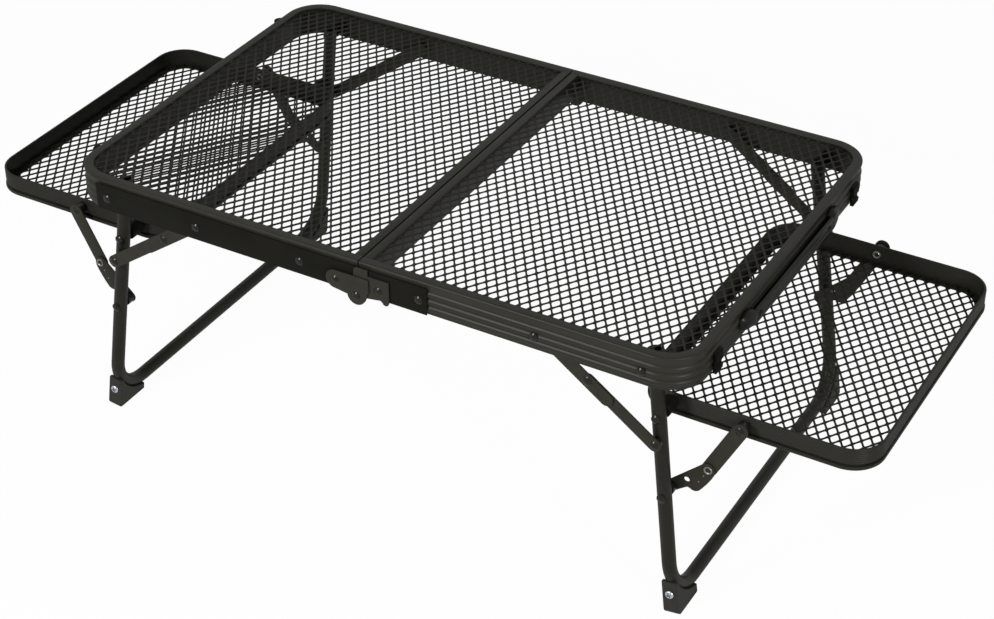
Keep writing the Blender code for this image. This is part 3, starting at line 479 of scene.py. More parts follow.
def buildSheetTree():
    tree, given, result = newTree("expandedSheet", {
        "Geometry": "Geometry", "Cell": "Object", "Pitch X": "Float", "Pitch Y": "Float", "Columns": "Int",
        "Rows": "Int", "Grid Centre": "Vector", "Core Centre": "Vector", "Core Half": "Vector",
        "Corner": "Float", "Hem": "Float", "Least X": "Float", "Margin": "Float", "Coat": "Material",
    })

    def calc(operation, first, second):
        return numberMath(tree, operation, first, second)

    def vec(operation, first, second=None):
        return vectorMath(tree, operation, first, second)

    def compare(operation, first, second):
        inputs = {0: first, 1: second}
        return addNode(tree, "FunctionNodeCompare", inputs, data_type="FLOAT", operation=operation).outputs[0]

    def fromCore():
        position = addNode(tree, "GeometryNodeInputPosition").outputs[0]
        away = vec("SUBTRACT", position, given["Core Centre"])
        past = vec("SUBTRACT", vec("ABSOLUTE", away), given["Core Half"])
        beyond = vec("MAXIMUM", past, (0, 0, 0))
        reach = addNode(tree, "ShaderNodeVectorMath", {0: beyond}, operation="LENGTH").outputs["Value"]
        return position, away, past, beyond, reach

    def squeeze(over):
        return calc("DIVIDE", calc("MULTIPLY", over, given["Hem"]), calc("ADD", over, given["Hem"]))

    # Two grids half a cell apart, without the points that lie past the frame
    spans = [calc("MULTIPLY", calc("SUBTRACT", given[count], 1.0), given[pitch])
             for count, pitch in (("Columns", "Pitch X"), ("Rows", "Pitch Y"))]
    grid = addNode(tree, "GeometryNodeMeshGrid", {
        "Size X": spans[0], "Size Y": spans[1], "Vertices X": given["Columns"], "Vertices Y": given["Rows"]})
    halfStep = addNode(tree, "ShaderNodeCombineXYZ", {
        "X": calc("MULTIPLY", given["Pitch X"], 0.5), "Y": calc("MULTIPLY", given["Pitch Y"], 0.5)})
    shifted = addNode(tree, "GeometryNodeTransform", {
        "Geometry": grid.outputs["Mesh"], "Translation": halfStep.outputs[0]})
    both = addNode(tree, "GeometryNodeJoinGeometry", {"Geometry": grid.outputs["Mesh"]})
    tree.links.new(shifted.outputs[0], both.inputs[0])
    centred = addNode(tree, "GeometryNodeTransform", {
        "Geometry": both.outputs[0], "Translation": given["Grid Centre"]})
    position, away, past, beyond, reach = fromCore()
    across = addNode(tree, "ShaderNodeSeparateXYZ", {0: position}).outputs[0]
    tooFar = compare("GREATER_THAN", reach, calc("ADD", given["Corner"], given["Margin"]))
    tooNear = compare("LESS_THAN", across, calc("SUBTRACT", given["Least X"], given["Margin"]))
    outside = addNode(tree, "FunctionNodeBooleanMath", {0: tooFar, 1: tooNear}, operation="OR").outputs[0]
    kept = addNode(tree, "GeometryNodeDeleteGeometry", {
        "Geometry": centred.outputs[0], "Selection": outside}, domain="POINT")
    cell = addNode(tree, "GeometryNodeObjectInfo", {"Object": given["Cell"]})
    placed = addNode(tree, "GeometryNodeInstanceOnPoints", {
        "Points": kept.outputs[0], "Instance": cell.outputs["Geometry"]})
    real = addNode(tree, "GeometryNodeRealizeInstances", {"Geometry": placed.outputs[0]})

    # What lies past the frame is pressed into a hem along its edge
    position, away, past, beyond, reach = fromCore()
    inner = calc("SUBTRACT", given["Corner"], given["Hem"])
    pressed = squeeze(calc("MAXIMUM", calc("SUBTRACT", reach, inner), 0.0))
    wanted = calc("ADD", calc("MINIMUM", reach, inner), pressed)
    share = calc("DIVIDE", wanted, calc("MAXIMUM", reach, 0.000001))
    scaled = addNode(tree, "ShaderNodeVectorMath", {0: beyond, "Scale": share}, operation="SCALE").outputs[0]
    inside = vec("ADD", vec("MINIMUM", past, (0, 0, 0)), given["Core Half"])
    folded = vec("MULTIPLY", vec("ADD", inside, scaled), vec("SIGN", away))
    back = vec("ADD", folded, given["Core Centre"])
    parts = addNode(tree, "ShaderNodeSeparateXYZ", {0: back}).outputs
    innerX = calc("ADD", given["Least X"], given["Hem"])
    pressed = squeeze(calc("MAXIMUM", calc("SUBTRACT", innerX, parts[0]), 0.0))
    finalX = calc("SUBTRACT", calc("MAXIMUM", parts[0], innerX), pressed)
    final = addNode(tree, "ShaderNodeCombineXYZ", {"X": finalX, "Y": parts[1], "Z": parts[2]})
    moved = addNode(tree, "GeometryNodeSetPosition", {
        "Geometry": real.outputs[0], "Position": final.outputs[0]})
    welded = addNode(tree, "GeometryNodeMergeByDistance", {"Geometry": moved.outputs[0], "Distance": 0.00001})
    return coatResult(tree, welded, given, result)


def buildHeadsTree():
    tree, given, result = newTree("headsOnPoints", {
        "Geometry": "Geometry", "Head": "Object", "Coat": "Material"})
    facing = addNode(tree, "GeometryNodeInputNamedAttribute", {"Name": "facing"}, data_type="FLOAT_VECTOR")
    rotation = addNode(tree, "FunctionNodeAlignRotationToVector", {"Vector": facing.outputs[0]}, axis="Z")
    head = addNode(tree, "GeometryNodeObjectInfo", {"Object": given["Head"]})
    placed = addNode(tree, "GeometryNodeInstanceOnPoints", {
        "Points": given["Geometry"], "Instance": head.outputs["Geometry"], "Rotation": rotation.outputs[0]})
    real = addNode(tree, "GeometryNodeRealizeInstances", {"Geometry": placed.outputs[0]})
    return coatResult(tree, real, given, result)


def grow(name, tree, points, values):
    mesh = bpy.data.meshes.new(name)
    mesh.from_pydata([point for point, _ in points], [], [])
    facing = mesh.attributes.new("facing", "FLOAT_VECTOR", "POINT")
    for index, (_, direction) in enumerate(points):
        facing.data[index].vector = direction
    base = newObject(name + "Base", mesh)
    modifier = base.modifiers.new(tree.name, "NODES")
    modifier.node_group = tree
    for item in tree.interface.items_tree:
        if item.item_type == "SOCKET" and item.in_out == "INPUT" and item.name in values:
            modifier[item.identifier] = values[item.name]
    grown = finalMesh(base)
    grown.shade_smooth()
    grown.set_sharp_from_angle(angle=radians(34))
    return grown


sheetTree = buildSheetTree()
headsTree = buildHeadsTree()

# Rims and crossbars

rim = {
    "height": 0.032, "flange": 0.0090, "flangeThick": 0.0018, "inset": 0.0028, "edge": 0.0019, "hem": 0.0006,
    "corner": 0.036, "cornerSteps": 22,
    "beads": (0.0054, 0.0121, 0.0196), "beadHalf": 0.0030, "beadOut": 0.0013, "lipRound": 0.0006,
}


def rimProfile():
    edge, out, half = rim["edge"], rim["beadOut"], rim["beadHalf"]
    radius = (half ** 2 + out ** 2) / (2 * out)
    spread = degrees(asin(half / radius))
    points = [(-rim["inset"], 0)] + arcPoints((-out - rim["hem"], rim["hem"]), rim["hem"], -90, 0, 4)
    for height in rim["beads"]:
        points += arcPoints((-radius, height), radius, -spread, spread, 10)
    points += [(-out * 0.92, rim["beads"][-1] + half + 0.0004), (-0.0003, rim["height"] - edge - 0.0012)]
    points += arcPoints((-edge, rim["height"] - edge), edge, 0, 90, 6)
    inner = rim["lipRound"]
    points += arcPoints((-rim["flange"] + inner, rim["height"] - inner), inner, 90, 180, 3)
    under = rim["height"] - rim["flangeThick"]
    points += [(-rim["flange"], under + 0.0002), (-rim["flange"] + 0.0002, under), (-rim["inset"], under)]
    return [(outward, rimBottom + up) for outward, up in points]


def buildRim(side):
    length, depth = layout["halfLength"], layout["halfDepth"]
    corners = [(layout["seam"], -depth), (length, -depth), (length, depth), (layout["seam"], depth)]
    bm = bmesh.new()
    sweepLevel(bm, roundedPath(corners, rim["corner"], rim["cornerSteps"], False), rimProfile(), False)
    makePiece(side, "Rim", bm, "half", "rimCoat", ["rim"], 40)


crossbar = {"width": 0.0082, "depth": 0.024, "edge": 0.0008, "endGap": 0.00005, "below": 0.00004}


def buildCrossbar(side):
    half = layout["halfDepth"] - rim["flange"] - crossbar["endGap"]
    outline = boxOutline(layout["seam"], layout["seam"] + crossbar["width"], -half, half)
    bm = bmesh.new()
    high = layout["top"] - crossbar["below"]
    plate(bm, [outline], layout["top"] - crossbar["depth"], high, crossbar["edge"], facingZ)
    makePiece(side, "Crossbar", bm, "half", "rimCoat", ["crossbar"])


# Nets of expanded sheet

net = {
    "pitchX": 0.0101, "pitchY": 0.0157, "strand": 0.0015, "thick": 0.0009, "tilt": 0.20,
    "eastRound": 0.0004, "northRound": 0.0007, "midShare": 0.42, "hem": 0.0012, "margin": 0.004,
    "topGrid": (32, 27, 0.2698), "wingGrid": (23, 21, 0.1878),  # columns, rows, height
}


def cellEdges():
    alongX, alongY = net["pitchX"] / 4, net["pitchY"] / 4
    length = hypot(alongX, alongY)
    shiftX = net["strand"] / 2 * alongY / length
    shiftY = net["strand"] / 2 * alongX / length
    eastEnd = (alongX + shiftX, alongY - shiftY)
    northEnd = (alongX - shiftX, alongY + shiftY)
    slope = alongX / alongY
    eastBase = eastEnd[0] - sqrt(net["eastRound"] ** 2 + (slope * eastEnd[1]) ** 2)
    northBase = northEnd[1] - sqrt(net["northRound"] ** 2 + (northEnd[0] / slope) ** 2)
    stations = []
    for share in (0.0, net["midShare"], 1.0):
        x, y = northEnd[0] * share, eastEnd[1] * share
        east = (eastBase + sqrt(net["eastRound"] ** 2 + (slope * y) ** 2), y)
        north = (x, northBase + sqrt(net["northRound"] ** 2 + (x / slope) ** 2))
        stations.append((east, north, share))
    return stations


def netCellMesh():
    bm = bmesh.new()
    half = net["thick"] / 2
    stations = cellEdges()
    for signX in (1, -1):
        for signY in (1, -1):
            loops = []
            for east, north, share in stations:
                middle = signX * (east[0] + north[0]) / 2
                loop = []
                for (x, y), level in ((east, half), (north, half), (north, -half), (east, -half)):
                    lift = net["tilt"] * share * (signX * x - middle)
                    loop.append((signX * x, signY * y, level + lift))
                loops.append(loop)
            loft(bm, loops, capped=False)
    east, north = stations[0][0][0], stations[0][1][1]
    for level in (half, -half):
        corners = [(east, 0), (0, north), (-east, 0), (0, -north)]
        bm.faces.new([bm.verts.new((x, y, level)) for x, y in corners])
    bmesh.ops.remove_doubles(bm, verts=bm.verts, dist=0.000001)
    onAxis = {vert for vert in bm.verts if min(abs(vert.co.x), abs(vert.co.y)) < 0.0001}
    inner = [face for face in bm.faces if onAxis.issuperset(face.verts) and abs(face.normal.z) < 0.5]
    bmesh.ops.delete(bm, geom=inner, context="FACES_ONLY")
    return meshOf("netCell", bm)


netCell = helperObject("netCell", netCellMesh())


def buildNet(side, kind):
    if kind == "top":
        edge = rim["inset"] + layout["gap"]
        far, depth, corner = layout["halfLength"] - edge, layout["halfDepth"] - edge, rim["corner"] - edge
        low = layout["seam"] + crossbar["width"] + layout["gap"]
        coreLow, least, part = -far, low, "half"
    else:
        edge = wingRail["lip"] + wingRail["wall"] + layout["gap"]
        far, depth = wingRail["outer"] - edge, wingRail["halfDepth"] - edge
        corner, low = wingRail["corner"] - edge, wingRail["inner"] + edge
        coreLow, least, part = low, -1.0, "wing"
    columns, rows, level = net[kind + "Grid"]
    values = {
        "Cell": netCell, "Pitch X": net["pitchX"], "Pitch Y": net["pitchY"], "Columns": columns, "Rows": rows,
        "Grid Centre": ((low + far) / 2, 0, 0), "Core Centre": ((coreLow + far) / 2, 0, 0),
        "Core Half": ((far - coreLow) / 2 - corner, depth - corner, 10), "Corner": corner, "Hem": net["hem"],
        "Least X": least, "Margin": net["margin"], "Coat": materials["netCoat"],
    }
    mesh = grow(side + kind + "Net", sheetTree, [((0, 0, 0), (0, 0, 1))], values)
    matrix = sideTurn[side] @ Matrix.Translation((0, 0, level))
    placePiece(side, kind.capitalize() + "Net", mesh, part, "netCoat", [kind + "_net"], matrix)
    print(side, kind, "net:", len(mesh.polygons), "faces")


# Cover plates, hinge leaves and rivets at the seam

seamPlate = {
    "inner": 0.1953, "outer": 0.1963, "long": 0.278, "short": 0.068, "height": 0.0265, "edge": 0.0003,
    "leafThick": 0.0015, "lobe": 0.0090, "leafEdge": 0.00045, "leafRivet": 0.0211, "plateRivet": 0.0597,
    "leafHalf": 0.0092, "leafMiddle": 0.0097, "spacer": 0.005,
}
innerLeaf = seamPlate["outer"] + layout["gap"]
outerLeaf = innerLeaf + seamPlate["leafThick"] + layout["gap"]
rivet = {"radius": 0.0042, "height": 0.0019, "shank": 0.0023, "sink": 0.0004, "clinch": 0.0003}


def domedHead(radius, near, outward, height=None):
    height = height or rivet["height"]
    lean = 2 * atan2(height, radius)
    points = [(radius, near), (radius, near + outward * height * 0.06)]
    for share in (0.9, 0.8, 0.68, 0.56, 0.44, 0.32, 0.2, 0.08):
        up = (cos(lean * share) - cos(lean)) / (1 - cos(lean))
        points.append((radius * sin(lean * share) / sin(lean), near + outward * height * up))
    return points


def sunkHead(radius, face, height=None, sink=rivet["clinch"]):
    return [(radius, face - sink)] + domedHead(radius, face, 1, height)


def halfFace(side):
    return layout["gap"] + (seamPlate["outer"] if side == "left" else layout["halfDepth"])


def rivetHeadMesh():
    bm = bmesh.new()
    turned(bm, sunkHead(rivet["radius"], 0, sink=rivet["sink"]), facingZ)
    return meshOf("rivetHead", bm)


rivetHead = helperObject("rivetHead", rivetHeadMesh())


def outerLeafOutline():
    half, middle = seamPlate["leafHalf"], rimBottom + seamPlate["leafMiddle"]
    low = middle - half
    outline = arcPoints((0, layout["seamPivot"]), seamPlate["lobe"], 185, 355, 20)
    outline += arcPoints((seamPlate["leafRivet"], middle), half, -90, 90, 20)
    outline += [(-0.0118, middle + half), (-0.0125, middle + half - 0.0007), (-0.0125, low + 0.006)]
    return outline


def innerLeafOutline():
    low, high = rimBottom + 0.0010, rimBottom + 0.0215
    outline = arcPoints((0, layout["seamPivot"]), seamPlate["lobe"], 180, 355, 20)
    outline += [(0.0233, low)] + arcPoints((0.0282, low - 0.0006), 0.0032, 200, 340, 8)
    outline += [(0.0318, low), (0.0318, high), (0.0112, high), (0.0110, high + 0.0002),
                (0.0110, high + 0.006)]
    outline += [(-0.0005, high + 0.006), (-0.0030, high + 0.004), (-0.0035, high - 0.004),
                (-0.0088, low + 0.006)]
    return outline


def buildSeamPlates(side):
    length = seamPlate["long"] if side == "left" else seamPlate["short"]
    low = rimBottom + layout["gap"]
    outline = boxOutline(layout["seam"], length, low, low + seamPlate["height"])
    bm = platePair(bmesh.new(), [outline], seamPlate["inner"], seamPlate["outer"], seamPlate["edge"])
    makePiece(side, "SidePlates", bm, "half", "plateCoat", bothEnds("side_plate"))
    outline = outerLeafOutline() if side == "left" else innerLeafOutline()
    near = outerLeaf if side == "left" else innerLeaf
    bm = platePair(bmesh.new(), [outline], near, near + seamPlate["leafThick"], seamPlate["leafEdge"])
    if side == "left":
        spacer = [(seamPlate["spacer"], innerLeaf), (seamPlate["spacer"], near + 0.0004)]
        turnedPair(bm, spacer, seamPlate["leafRivet"], rimBottom + seamPlate["leafMiddle"])
    makePiece(side, "SeamLeaves", bm, "half", "stayCoat", bothEnds("seam_leaf"))


def buildHalfRivets(side):
    leafFace = (outerLeaf if side == "left" else innerLeaf) + seamPlate["leafThick"]
    legX, legZ = layout["legPivot"]
    spots = [(seamPlate["leafRivet"], leafFace, rimBottom + seamPlate["leafMiddle"])]
    spots += [(seamPlate["plateRivet"], seamPlate["outer"], legZ), (legX, halfFace(side), legZ)]
    points = [((x, facing * y, z), (0, facing, 0)) for facing in (-1, 1) for x, y, z in spots]
    values = {"Head": rivetHead, "Coat": materials["rivetCoat"]}
    mesh = grow(side + "Rivets", headsTree, points, values)
    placePiece(side, "HalfRivets", mesh, "half", "rivetCoat")


legPivotPin = {"bush": 0.0060, "bushStart": 0.1919, "lowHead": 0.0014}


def buildLegPivots(side):
    pin, shank = legPivotPin, rivet["shank"]
    tubeIn, tubeOut = tubeFaces(0)
    profile = [(shank, halfFace(side) + 0.0003), (shank, pin["bushStart"]), (pin["bush"], pin["bushStart"])]
    profile += [(pin["bush"], tubeOut), (shank, tubeOut), (shank, tubeIn)]
    profile += domedHead(rivet["radius"], tubeIn, -1, pin["lowHead"])
    bm = turnedPair(bmesh.new(), profile, *layout["legPivot"])
    makePiece(side, "LegPivots", bm, "half", "rivetCoat", bothEnds("leg_pivot_pin"))


def buildSeamPins():
    face = outerLeaf + seamPlate["leafThick"] + layout["gap"]
    profile = [(rivet["shank"], innerLeaf), (rivet["shank"], face)] + domedHead(rivet["radius"], face, 1)
    bm = turnedPair(bmesh.new(), profile, 0, layout["seamPivot"])
    nodes = ["seam_front_pin", "seam_back_pin"]
    settle("seamPins", meshOf("seamPins", bm), Matrix.Identity(4), "rivetCoat", "left_half", nodes)


# Legs and feet

leg = {
    "radius": 0.00635, "wall": 0.0012, "bend": 0.040, "overhang": 0.0064, "barHeight": 0.0106,
    "sides": 28, "bendSteps": 12,
}
foot = {
    "width": 0.0150, "height": 0.0330, "frontY": 0.1818, "toeY": 0.1830, "heelY": 0.1450, "cradle": 0.0043,
    "edge": 0.0012, "screwHeight": 0.0205, "screwHead": 0.0040,
    "slotLevel": 0.0014, "slotSize": (0.0048, 0.0012, 0.0020),
    "toeRound": ((0.0026, 0.0001), (0.0009, 0.0009), (0.0001, 0.0027)),
}
barDrop = -(layout["legPivot"][1] - leg["barHeight"]) / cos(layout["legTilt"])
groundDrop = -layout["legPivot"][1] / cos(layout["legTilt"])


def legStations():
    high, low, top = legY(-leg["overhang"]), legY(-barDrop), leg["overhang"]
    corners = [(-high, top), (-low, barDrop), (low, barDrop), (high, top)]
    return roundedPath(corners, leg["bend"], leg["bendSteps"], False)


def tubeRings(bm, radius):
    loops = []
    for point, normal in legStations():
        spots = [(angle, point + normal * radius * cos(angle)) for angle in roundAngles(leg["sides"])]
        loops.append([(radius * sin(angle), spot.x, spot.y) for angle, spot in spots])
    return loft(bm, loops, capped=False)


def buildLeg(side):
    bm = bmesh.new()
    outer, inner = tubeRings(bm, leg["radius"]), tubeRings(bm, leg["radius"] - leg["wall"])
    for end in (0, -1):
        joinRings(bm, [outer[end], inner[end]], False)
    makePiece(side, "LegTube", bm, "leg", "tubeCoat", ["leg_tube"])


def legPlace(side):
    return placeAt(side, *layout["legPivot"], -layout["legTilt"])


def footOutline():
    turn = (pi / 2 + atan2(layout["legSplay"], 1)) / 2
    bend = (legY(-barDrop) - leg["bend"] * sin(turn) / cos(turn), barDrop + leg["bend"])
    cradle = leg["bend"] + foot["cradle"]
    toe = groundDrop - 0.002
    top = groundDrop + foot["height"]
    heelAngle = -degrees(acos((foot["heelY"] - bend[0]) / cradle))
    topAngle = -degrees(asin((bend[1] - top) / cradle))
    outline = [(foot["heelY"], toe), (foot["toeY"] - 0.0032, toe)]
    outline += [(foot["toeY"] - back, groundDrop + up) for back, up in foot["toeRound"]]
    return outline + [(foot["frontY"], top)] + arcPoints(bend, cradle, topAngle, heelAngle, 14)


def buildFeet(side):
    bm = bmesh.new()
    half = foot["width"] / 2
    for facing in (-1, 1):
        plate(bm, [footOutline()], -half, half, foot["edge"], lambda a, b, level: (level, facing * a, b))
    cutEdges = bmesh.ops.bisect_plane(
        bm, geom=bm.verts[:] + bm.edges[:] + bm.faces[:], plane_co=(0, 0, groundDrop),
        plane_no=(-sin(layout["legTilt"]), 0, -cos(layout["legTilt"])), clear_outer=True)["geom_cut"]
    bmesh.ops.holes_fill(bm, edges=[item for item in cutEdges if isinstance(item, bmesh.types.BMEdge)])
    makePiece(side, "Feet", bm, "leg", "footPlastic", bothEnds("foot"))


def screwHeadMesh():
    radius = foot["screwHead"]
    shape = [(0.5, -0.003), (0.5, 0.0), (1, 0.0), (1, 0.0006), (0.94, 0.0012), (0.78, 0.0017), (0.55, 0.0020)]
    bm = bmesh.new()
    turned(bm, [(radius * share, up) for share, up in shape + [(0.3, 0.0021)]], facingZ, sideCount=32)
    head = helperObject("screwBlank", meshOf("screwBlank", bm))
    bm = bmesh.new()
    blade = Matrix.Translation((0, 0, foot["slotLevel"])) @ Matrix.Diagonal((*foot["slotSize"], 1))
    for turn in (20, 110):
        bmesh.ops.create_cube(bm, size=1, matrix=Matrix.Rotation(radians(turn), 4, "Z") @ blade)
    slots = helperObject("screwSlots", meshOf("screwSlots", bm))
    boolean = head.modifiers.new("slots", "BOOLEAN")
    boolean.operation = "DIFFERENCE"
    boolean.solver = "EXACT"
    boolean.use_self = True
    boolean.object = slots
    mesh = finalMesh(head)
    bpy.data.objects.remove(slots)
    return mesh


screwHead = helperObject("screwHead", screwHeadMesh())


def buildFootScrews(side):
    slope = (foot["frontY"] - foot["toeY"]) / foot["height"]
    face = foot["toeY"] + slope * foot["screwHeight"] + 0.0001
    height = groundDrop + foot["screwHeight"]
    points = [((0, facing * face, height), (0, facing, -slope)) for facing in (-1, 1)]
    values = {"Head": screwHead, "Coat": materials["screwSteel"]}
    mesh = grow(side + "Screws", headsTree, points, values)
    placePiece(side, "FootScrews", mesh, "leg", "screwSteel", bothEnds("foot_screw"))


def buildWingPivots(side):
    inner, outer = tubeFaces(layout["wingDown"])
    wallInner, wallOuter = railFaces()
    shank, radius, bevel = rivet["shank"], wingRail["bush"], 0.0006
    profile = domedHead(rivet["radius"], outer, 1)[::-1] + [(shank, outer), (shank, wallInner)]
    profile += domedHead(rivet["radius"], wallInner, -1)
    pins = turnedPair(bmesh.new(), profile, 0, -layout["wingDown"])
    makePiece(side, "WingPivots", pins, "leg", "rivetCoat", bothEnds("wing_pivot_pin"))
    hole = shank + 0.0001
    bush = [(hole, inner), (radius - bevel, inner), (radius, inner - bevel), (radius, wallOuter + bevel)]
    bush += [(radius - bevel, wallOuter), (hole, wallOuter)]
    bushes = turnedPair(bmesh.new(), bush, 0, -layout["wingDown"], closed=True)
    # the bushes take the near-black painted-shade finish for the gap between leg tube and wing rail
    makePiece(side, "WingBushes", bushes, "leg", "bushCoat")


# Wing trays

wingRail = {
    "inner": 0.241, "outer": 0.451, "halfDepth": 0.148, "corner": 0.030, "cornerSteps": 20, "height": 0.021,
    "above": 0.0074, "wall": 0.0022, "lip": 0.0008, "ledge": 0.0065, "ledgeHigh": 0.0034,
    "ledgeThick": 0.0012, "ledgeEdge": 0.0003, "round": 0.0007, "bush": 0.0066,
    "lines": 7, "lineDeep": 0.0003, "lineStart": 0.0074, "lineEnd": 0.0194,
}


def railFaces():
    outer = wingRail["halfDepth"]
    return outer - wingRail["lip"] - wingRail["wall"] - layout["gap"], outer + layout["gap"]


def wingProfile():
    wing = wingRail
    lip, wall = -wing["lip"], -wing["lip"] - wing["wall"]
    ledge = wall - wing["ledge"]
    points = [(wall, 0)] + arcPoints((-0.0018, 0.0018), 0.0018, -90, 0, 5)
    points += [(0, 0.0032), (-0.0003, 0.0040), (lip - 0.0016, 0.0044), (lip - 0.0016, 0.0060), (lip, 0.0064)]
    pitch = (wing["lineEnd"] - wing["lineStart"]) / (wing["lines"] - 1)
    for index in range(wing["lines"]):
        height = wing["lineStart"] + index * pitch
        half = pitch * 0.22
        points += [(lip, height - half), (lip - wing["lineDeep"], height), (lip, height + half)]
    points = [point for point in points if point[1] < wing["height"] - wing["round"]]
    points += arcPoints((lip - wing["round"], wing["height"] - wing["round"]), wing["round"], 0, 90, 3)
    points += arcPoints((wall + 0.0005, wing["height"] - 0.0005), 0.0005, 90, 180, 2)
    high, low, edge = wing["ledgeHigh"], wing["ledgeHigh"] - wing["ledgeThick"], wing["ledgeEdge"]
    points += [(wall, high), (ledge + edge, high), (ledge, high - edge)]
    return points + [(ledge, low + edge), (ledge + edge, low), (wall, low)]


def buildWing(side):
    wing = wingRail
    bottom = alongLeg(layout["wingDown"])[1] + wing["above"] - wing["height"]
    corners = [(wing["inner"], -wing["halfDepth"]), (wing["outer"], -wing["halfDepth"])]
    corners += [(wing["outer"], wing["halfDepth"]), (wing["inner"], wing["halfDepth"])]
    profile = [(outward, bottom + up) for outward, up in wingProfile()]
    bm = bmesh.new()
    sweepLevel(bm, roundedPath(corners, wing["corner"], wing["cornerSteps"], True), profile, True)
    makePiece(side, "WingRail", bm, "wing", "wingCoat", ["wing_rail"], 40)


# Stays

stay = {
    "width": 0.0130, "thick": 0.0015, "overhang": 0.0215, "upperY": 0.18630, "lowerY": 0.18440,
    "wingBarWidth": 0.0140, "wingBarY": 0.15775, "wingPlateY": 0.15965, "bush": 0.0050, "edge": 0.00035,
    "washer": 0.0043, "barHead": 0.0016, "barEyelet": (0.0039, 0.0020), "plateEyelet": (0.0040, 0.0023),
    "plateHole": (0.0170, -0.0003, 0.0026), "plateDots": ((0.0265, -0.0060), (0.0345, -0.0030)),
    "plateDot": (0.0009, 0.0005), "linkDot": (0.0022, 0.0006), "lowerWidth": 0.0124,  # dots: radius, height
}


def legStayShape():
    legPin = alongLeg(layout["legStayDown"])
    reachOut, angle = wayTo(layout["legStayRim"], legPin)
    reachIn = layout["legPivot"][0] - layout["legStayDown"] - layout["legStayRim"][0]
    return (reachOut - reachIn) / 2, (reachOut + reachIn) / 2, angle


def wingStayShape():
    wingPin, legPin = layout["wingStayWing"], alongLeg(layout["wingStayDown"])
    long = layout["wingPlateLength"]
    toPivot = wayTo(alongLeg(layout["wingDown"]), wingPin)[0]
    bar = long + layout["wingStayDown"] - layout["wingDown"] - toPivot
    reach, angle = wayTo(legPin, wingPin)
    along = (long ** 2 - bar ** 2 + reach ** 2) / (2 * reach)
    aside = sqrt(long ** 2 - along ** 2)
    knuckle = Vector(legPin) + Matrix.Rotation(angle, 2) @ Vector((along, -aside))
    return bar, wayTo(wingPin, knuckle)[1], wayTo(legPin, knuckle)[1]


def linkOutline(length, width, overhang=0.0):
    ends = arcPoints((0, 0), width / 2, 90, 270, 14)
    return ends + arcPoints((length + overhang, 0), width / 2, -90, 90, 14)


def wingPlateOutline():
    outline = arcPoints((0, 0), 0.0056, 90, 250, 12)
    outline += [(0.0110, -0.0063), (0.0128, -0.0067), (0.0137, -0.0082), (0.0151, -0.0113), (0.0172, -0.0131)]
    outline += [(0.0202, -0.0138), (0.0250, -0.0129), (0.0317, -0.0112), (0.0390, -0.0088), (0.0435, -0.0069)]
    outline += [(0.0463, -0.0044), (0.0478, -0.0014), (0.0479, 0.0018), (0.0467, 0.0045), (0.0447, 0.0061)]
    outline += [(0.0420, 0.0066), (0.0350, 0.0064)]
    return outline


def eyelet(bm, radius, hole, near, far, a):
    shape = [(radius, near), (radius, far - 0.0004), (radius * 0.93, far), (hole * 1.25, far)]
    return turnedPair(bm, shape + [(hole, far - 0.0004), (hole, near)], a, closed=True)


def dimple(bm, radius, height, near, a, b):
    shape = [(radius, near - rivet["clinch"]), (radius, near), (radius * 0.8, near + height * 0.75)]
    return turnedPair(bm, shape + [(radius * 0.45, near + height)], a, b, sideCount=16)


def linkFaces(name):
    return stay[name] - stay["thick"] / 2, stay[name] + stay["thick"] / 2


def makeLinks(side, name, matrix, bars, pins, rings=None):
    node = snake(name)
    makePiece(side, name + "s", bars, node + "s", "stayCoat", bothEnds(node), matrix=matrix)
    makePiece(side, name + "Rivets", pins, node + "s", "rivetCoat", matrix=matrix)
    if rings:
        makePiece(side, name + "Eyelets", rings, node + "s", "eyeletSteel", matrix=matrix)


def buildLegStays(side):
    upper, lower, angle = legStayShape()
    shank, clinch, bush, face = rivet["shank"], rivet["clinch"], stay["bush"], halfFace(side)
    near, far = linkFaces("upperY")
    outline = linkOutline(upper, stay["width"], stay["overhang"])
    bars = platePair(bmesh.new(), [outline], near, far, stay["edge"])
    dimple(bars, *stay["linkDot"], far, upper + stay["overhang"] - 0.001, -0.0008)
    wall = layout["halfDepth"] - rim["inset"] - layout["gap"]
    pin = [(bush, far - clinch), (bush, wall), (shank, wall), (shank, face)]
    pins = turnedPair(bmesh.new(), pin + domedHead(rivet["radius"], face, 1))
    turnedPair(pins, sunkHead(stay["bush"], far), upper)
    turnedPair(pins, [(stay["washer"], near + clinch), (stay["washer"], near - 0.0002)], upper)
    makeLinks(side, "LegStayUpper", placeAt(side, *layout["legStayRim"], -angle), bars, pins)
    near, far = linkFaces("lowerY")
    bars = platePair(bmesh.new(), [linkOutline(lower, stay["lowerWidth"])], near, far, stay["edge"])
    outer = tubeFaces(layout["legStayDown"])[1]
    pin = [(shank, legY(layout["legStayDown"]) + 0.002), (shank, outer), (bush, outer), (bush, near + clinch)]
    pins = turnedPair(turnedPair(bmesh.new(), pin), sunkHead(rivet["radius"], far))
    makeLinks(side, "LegStayLower", placeAt(side, *alongLeg(layout["legStayDown"]), pi - angle), bars, pins)


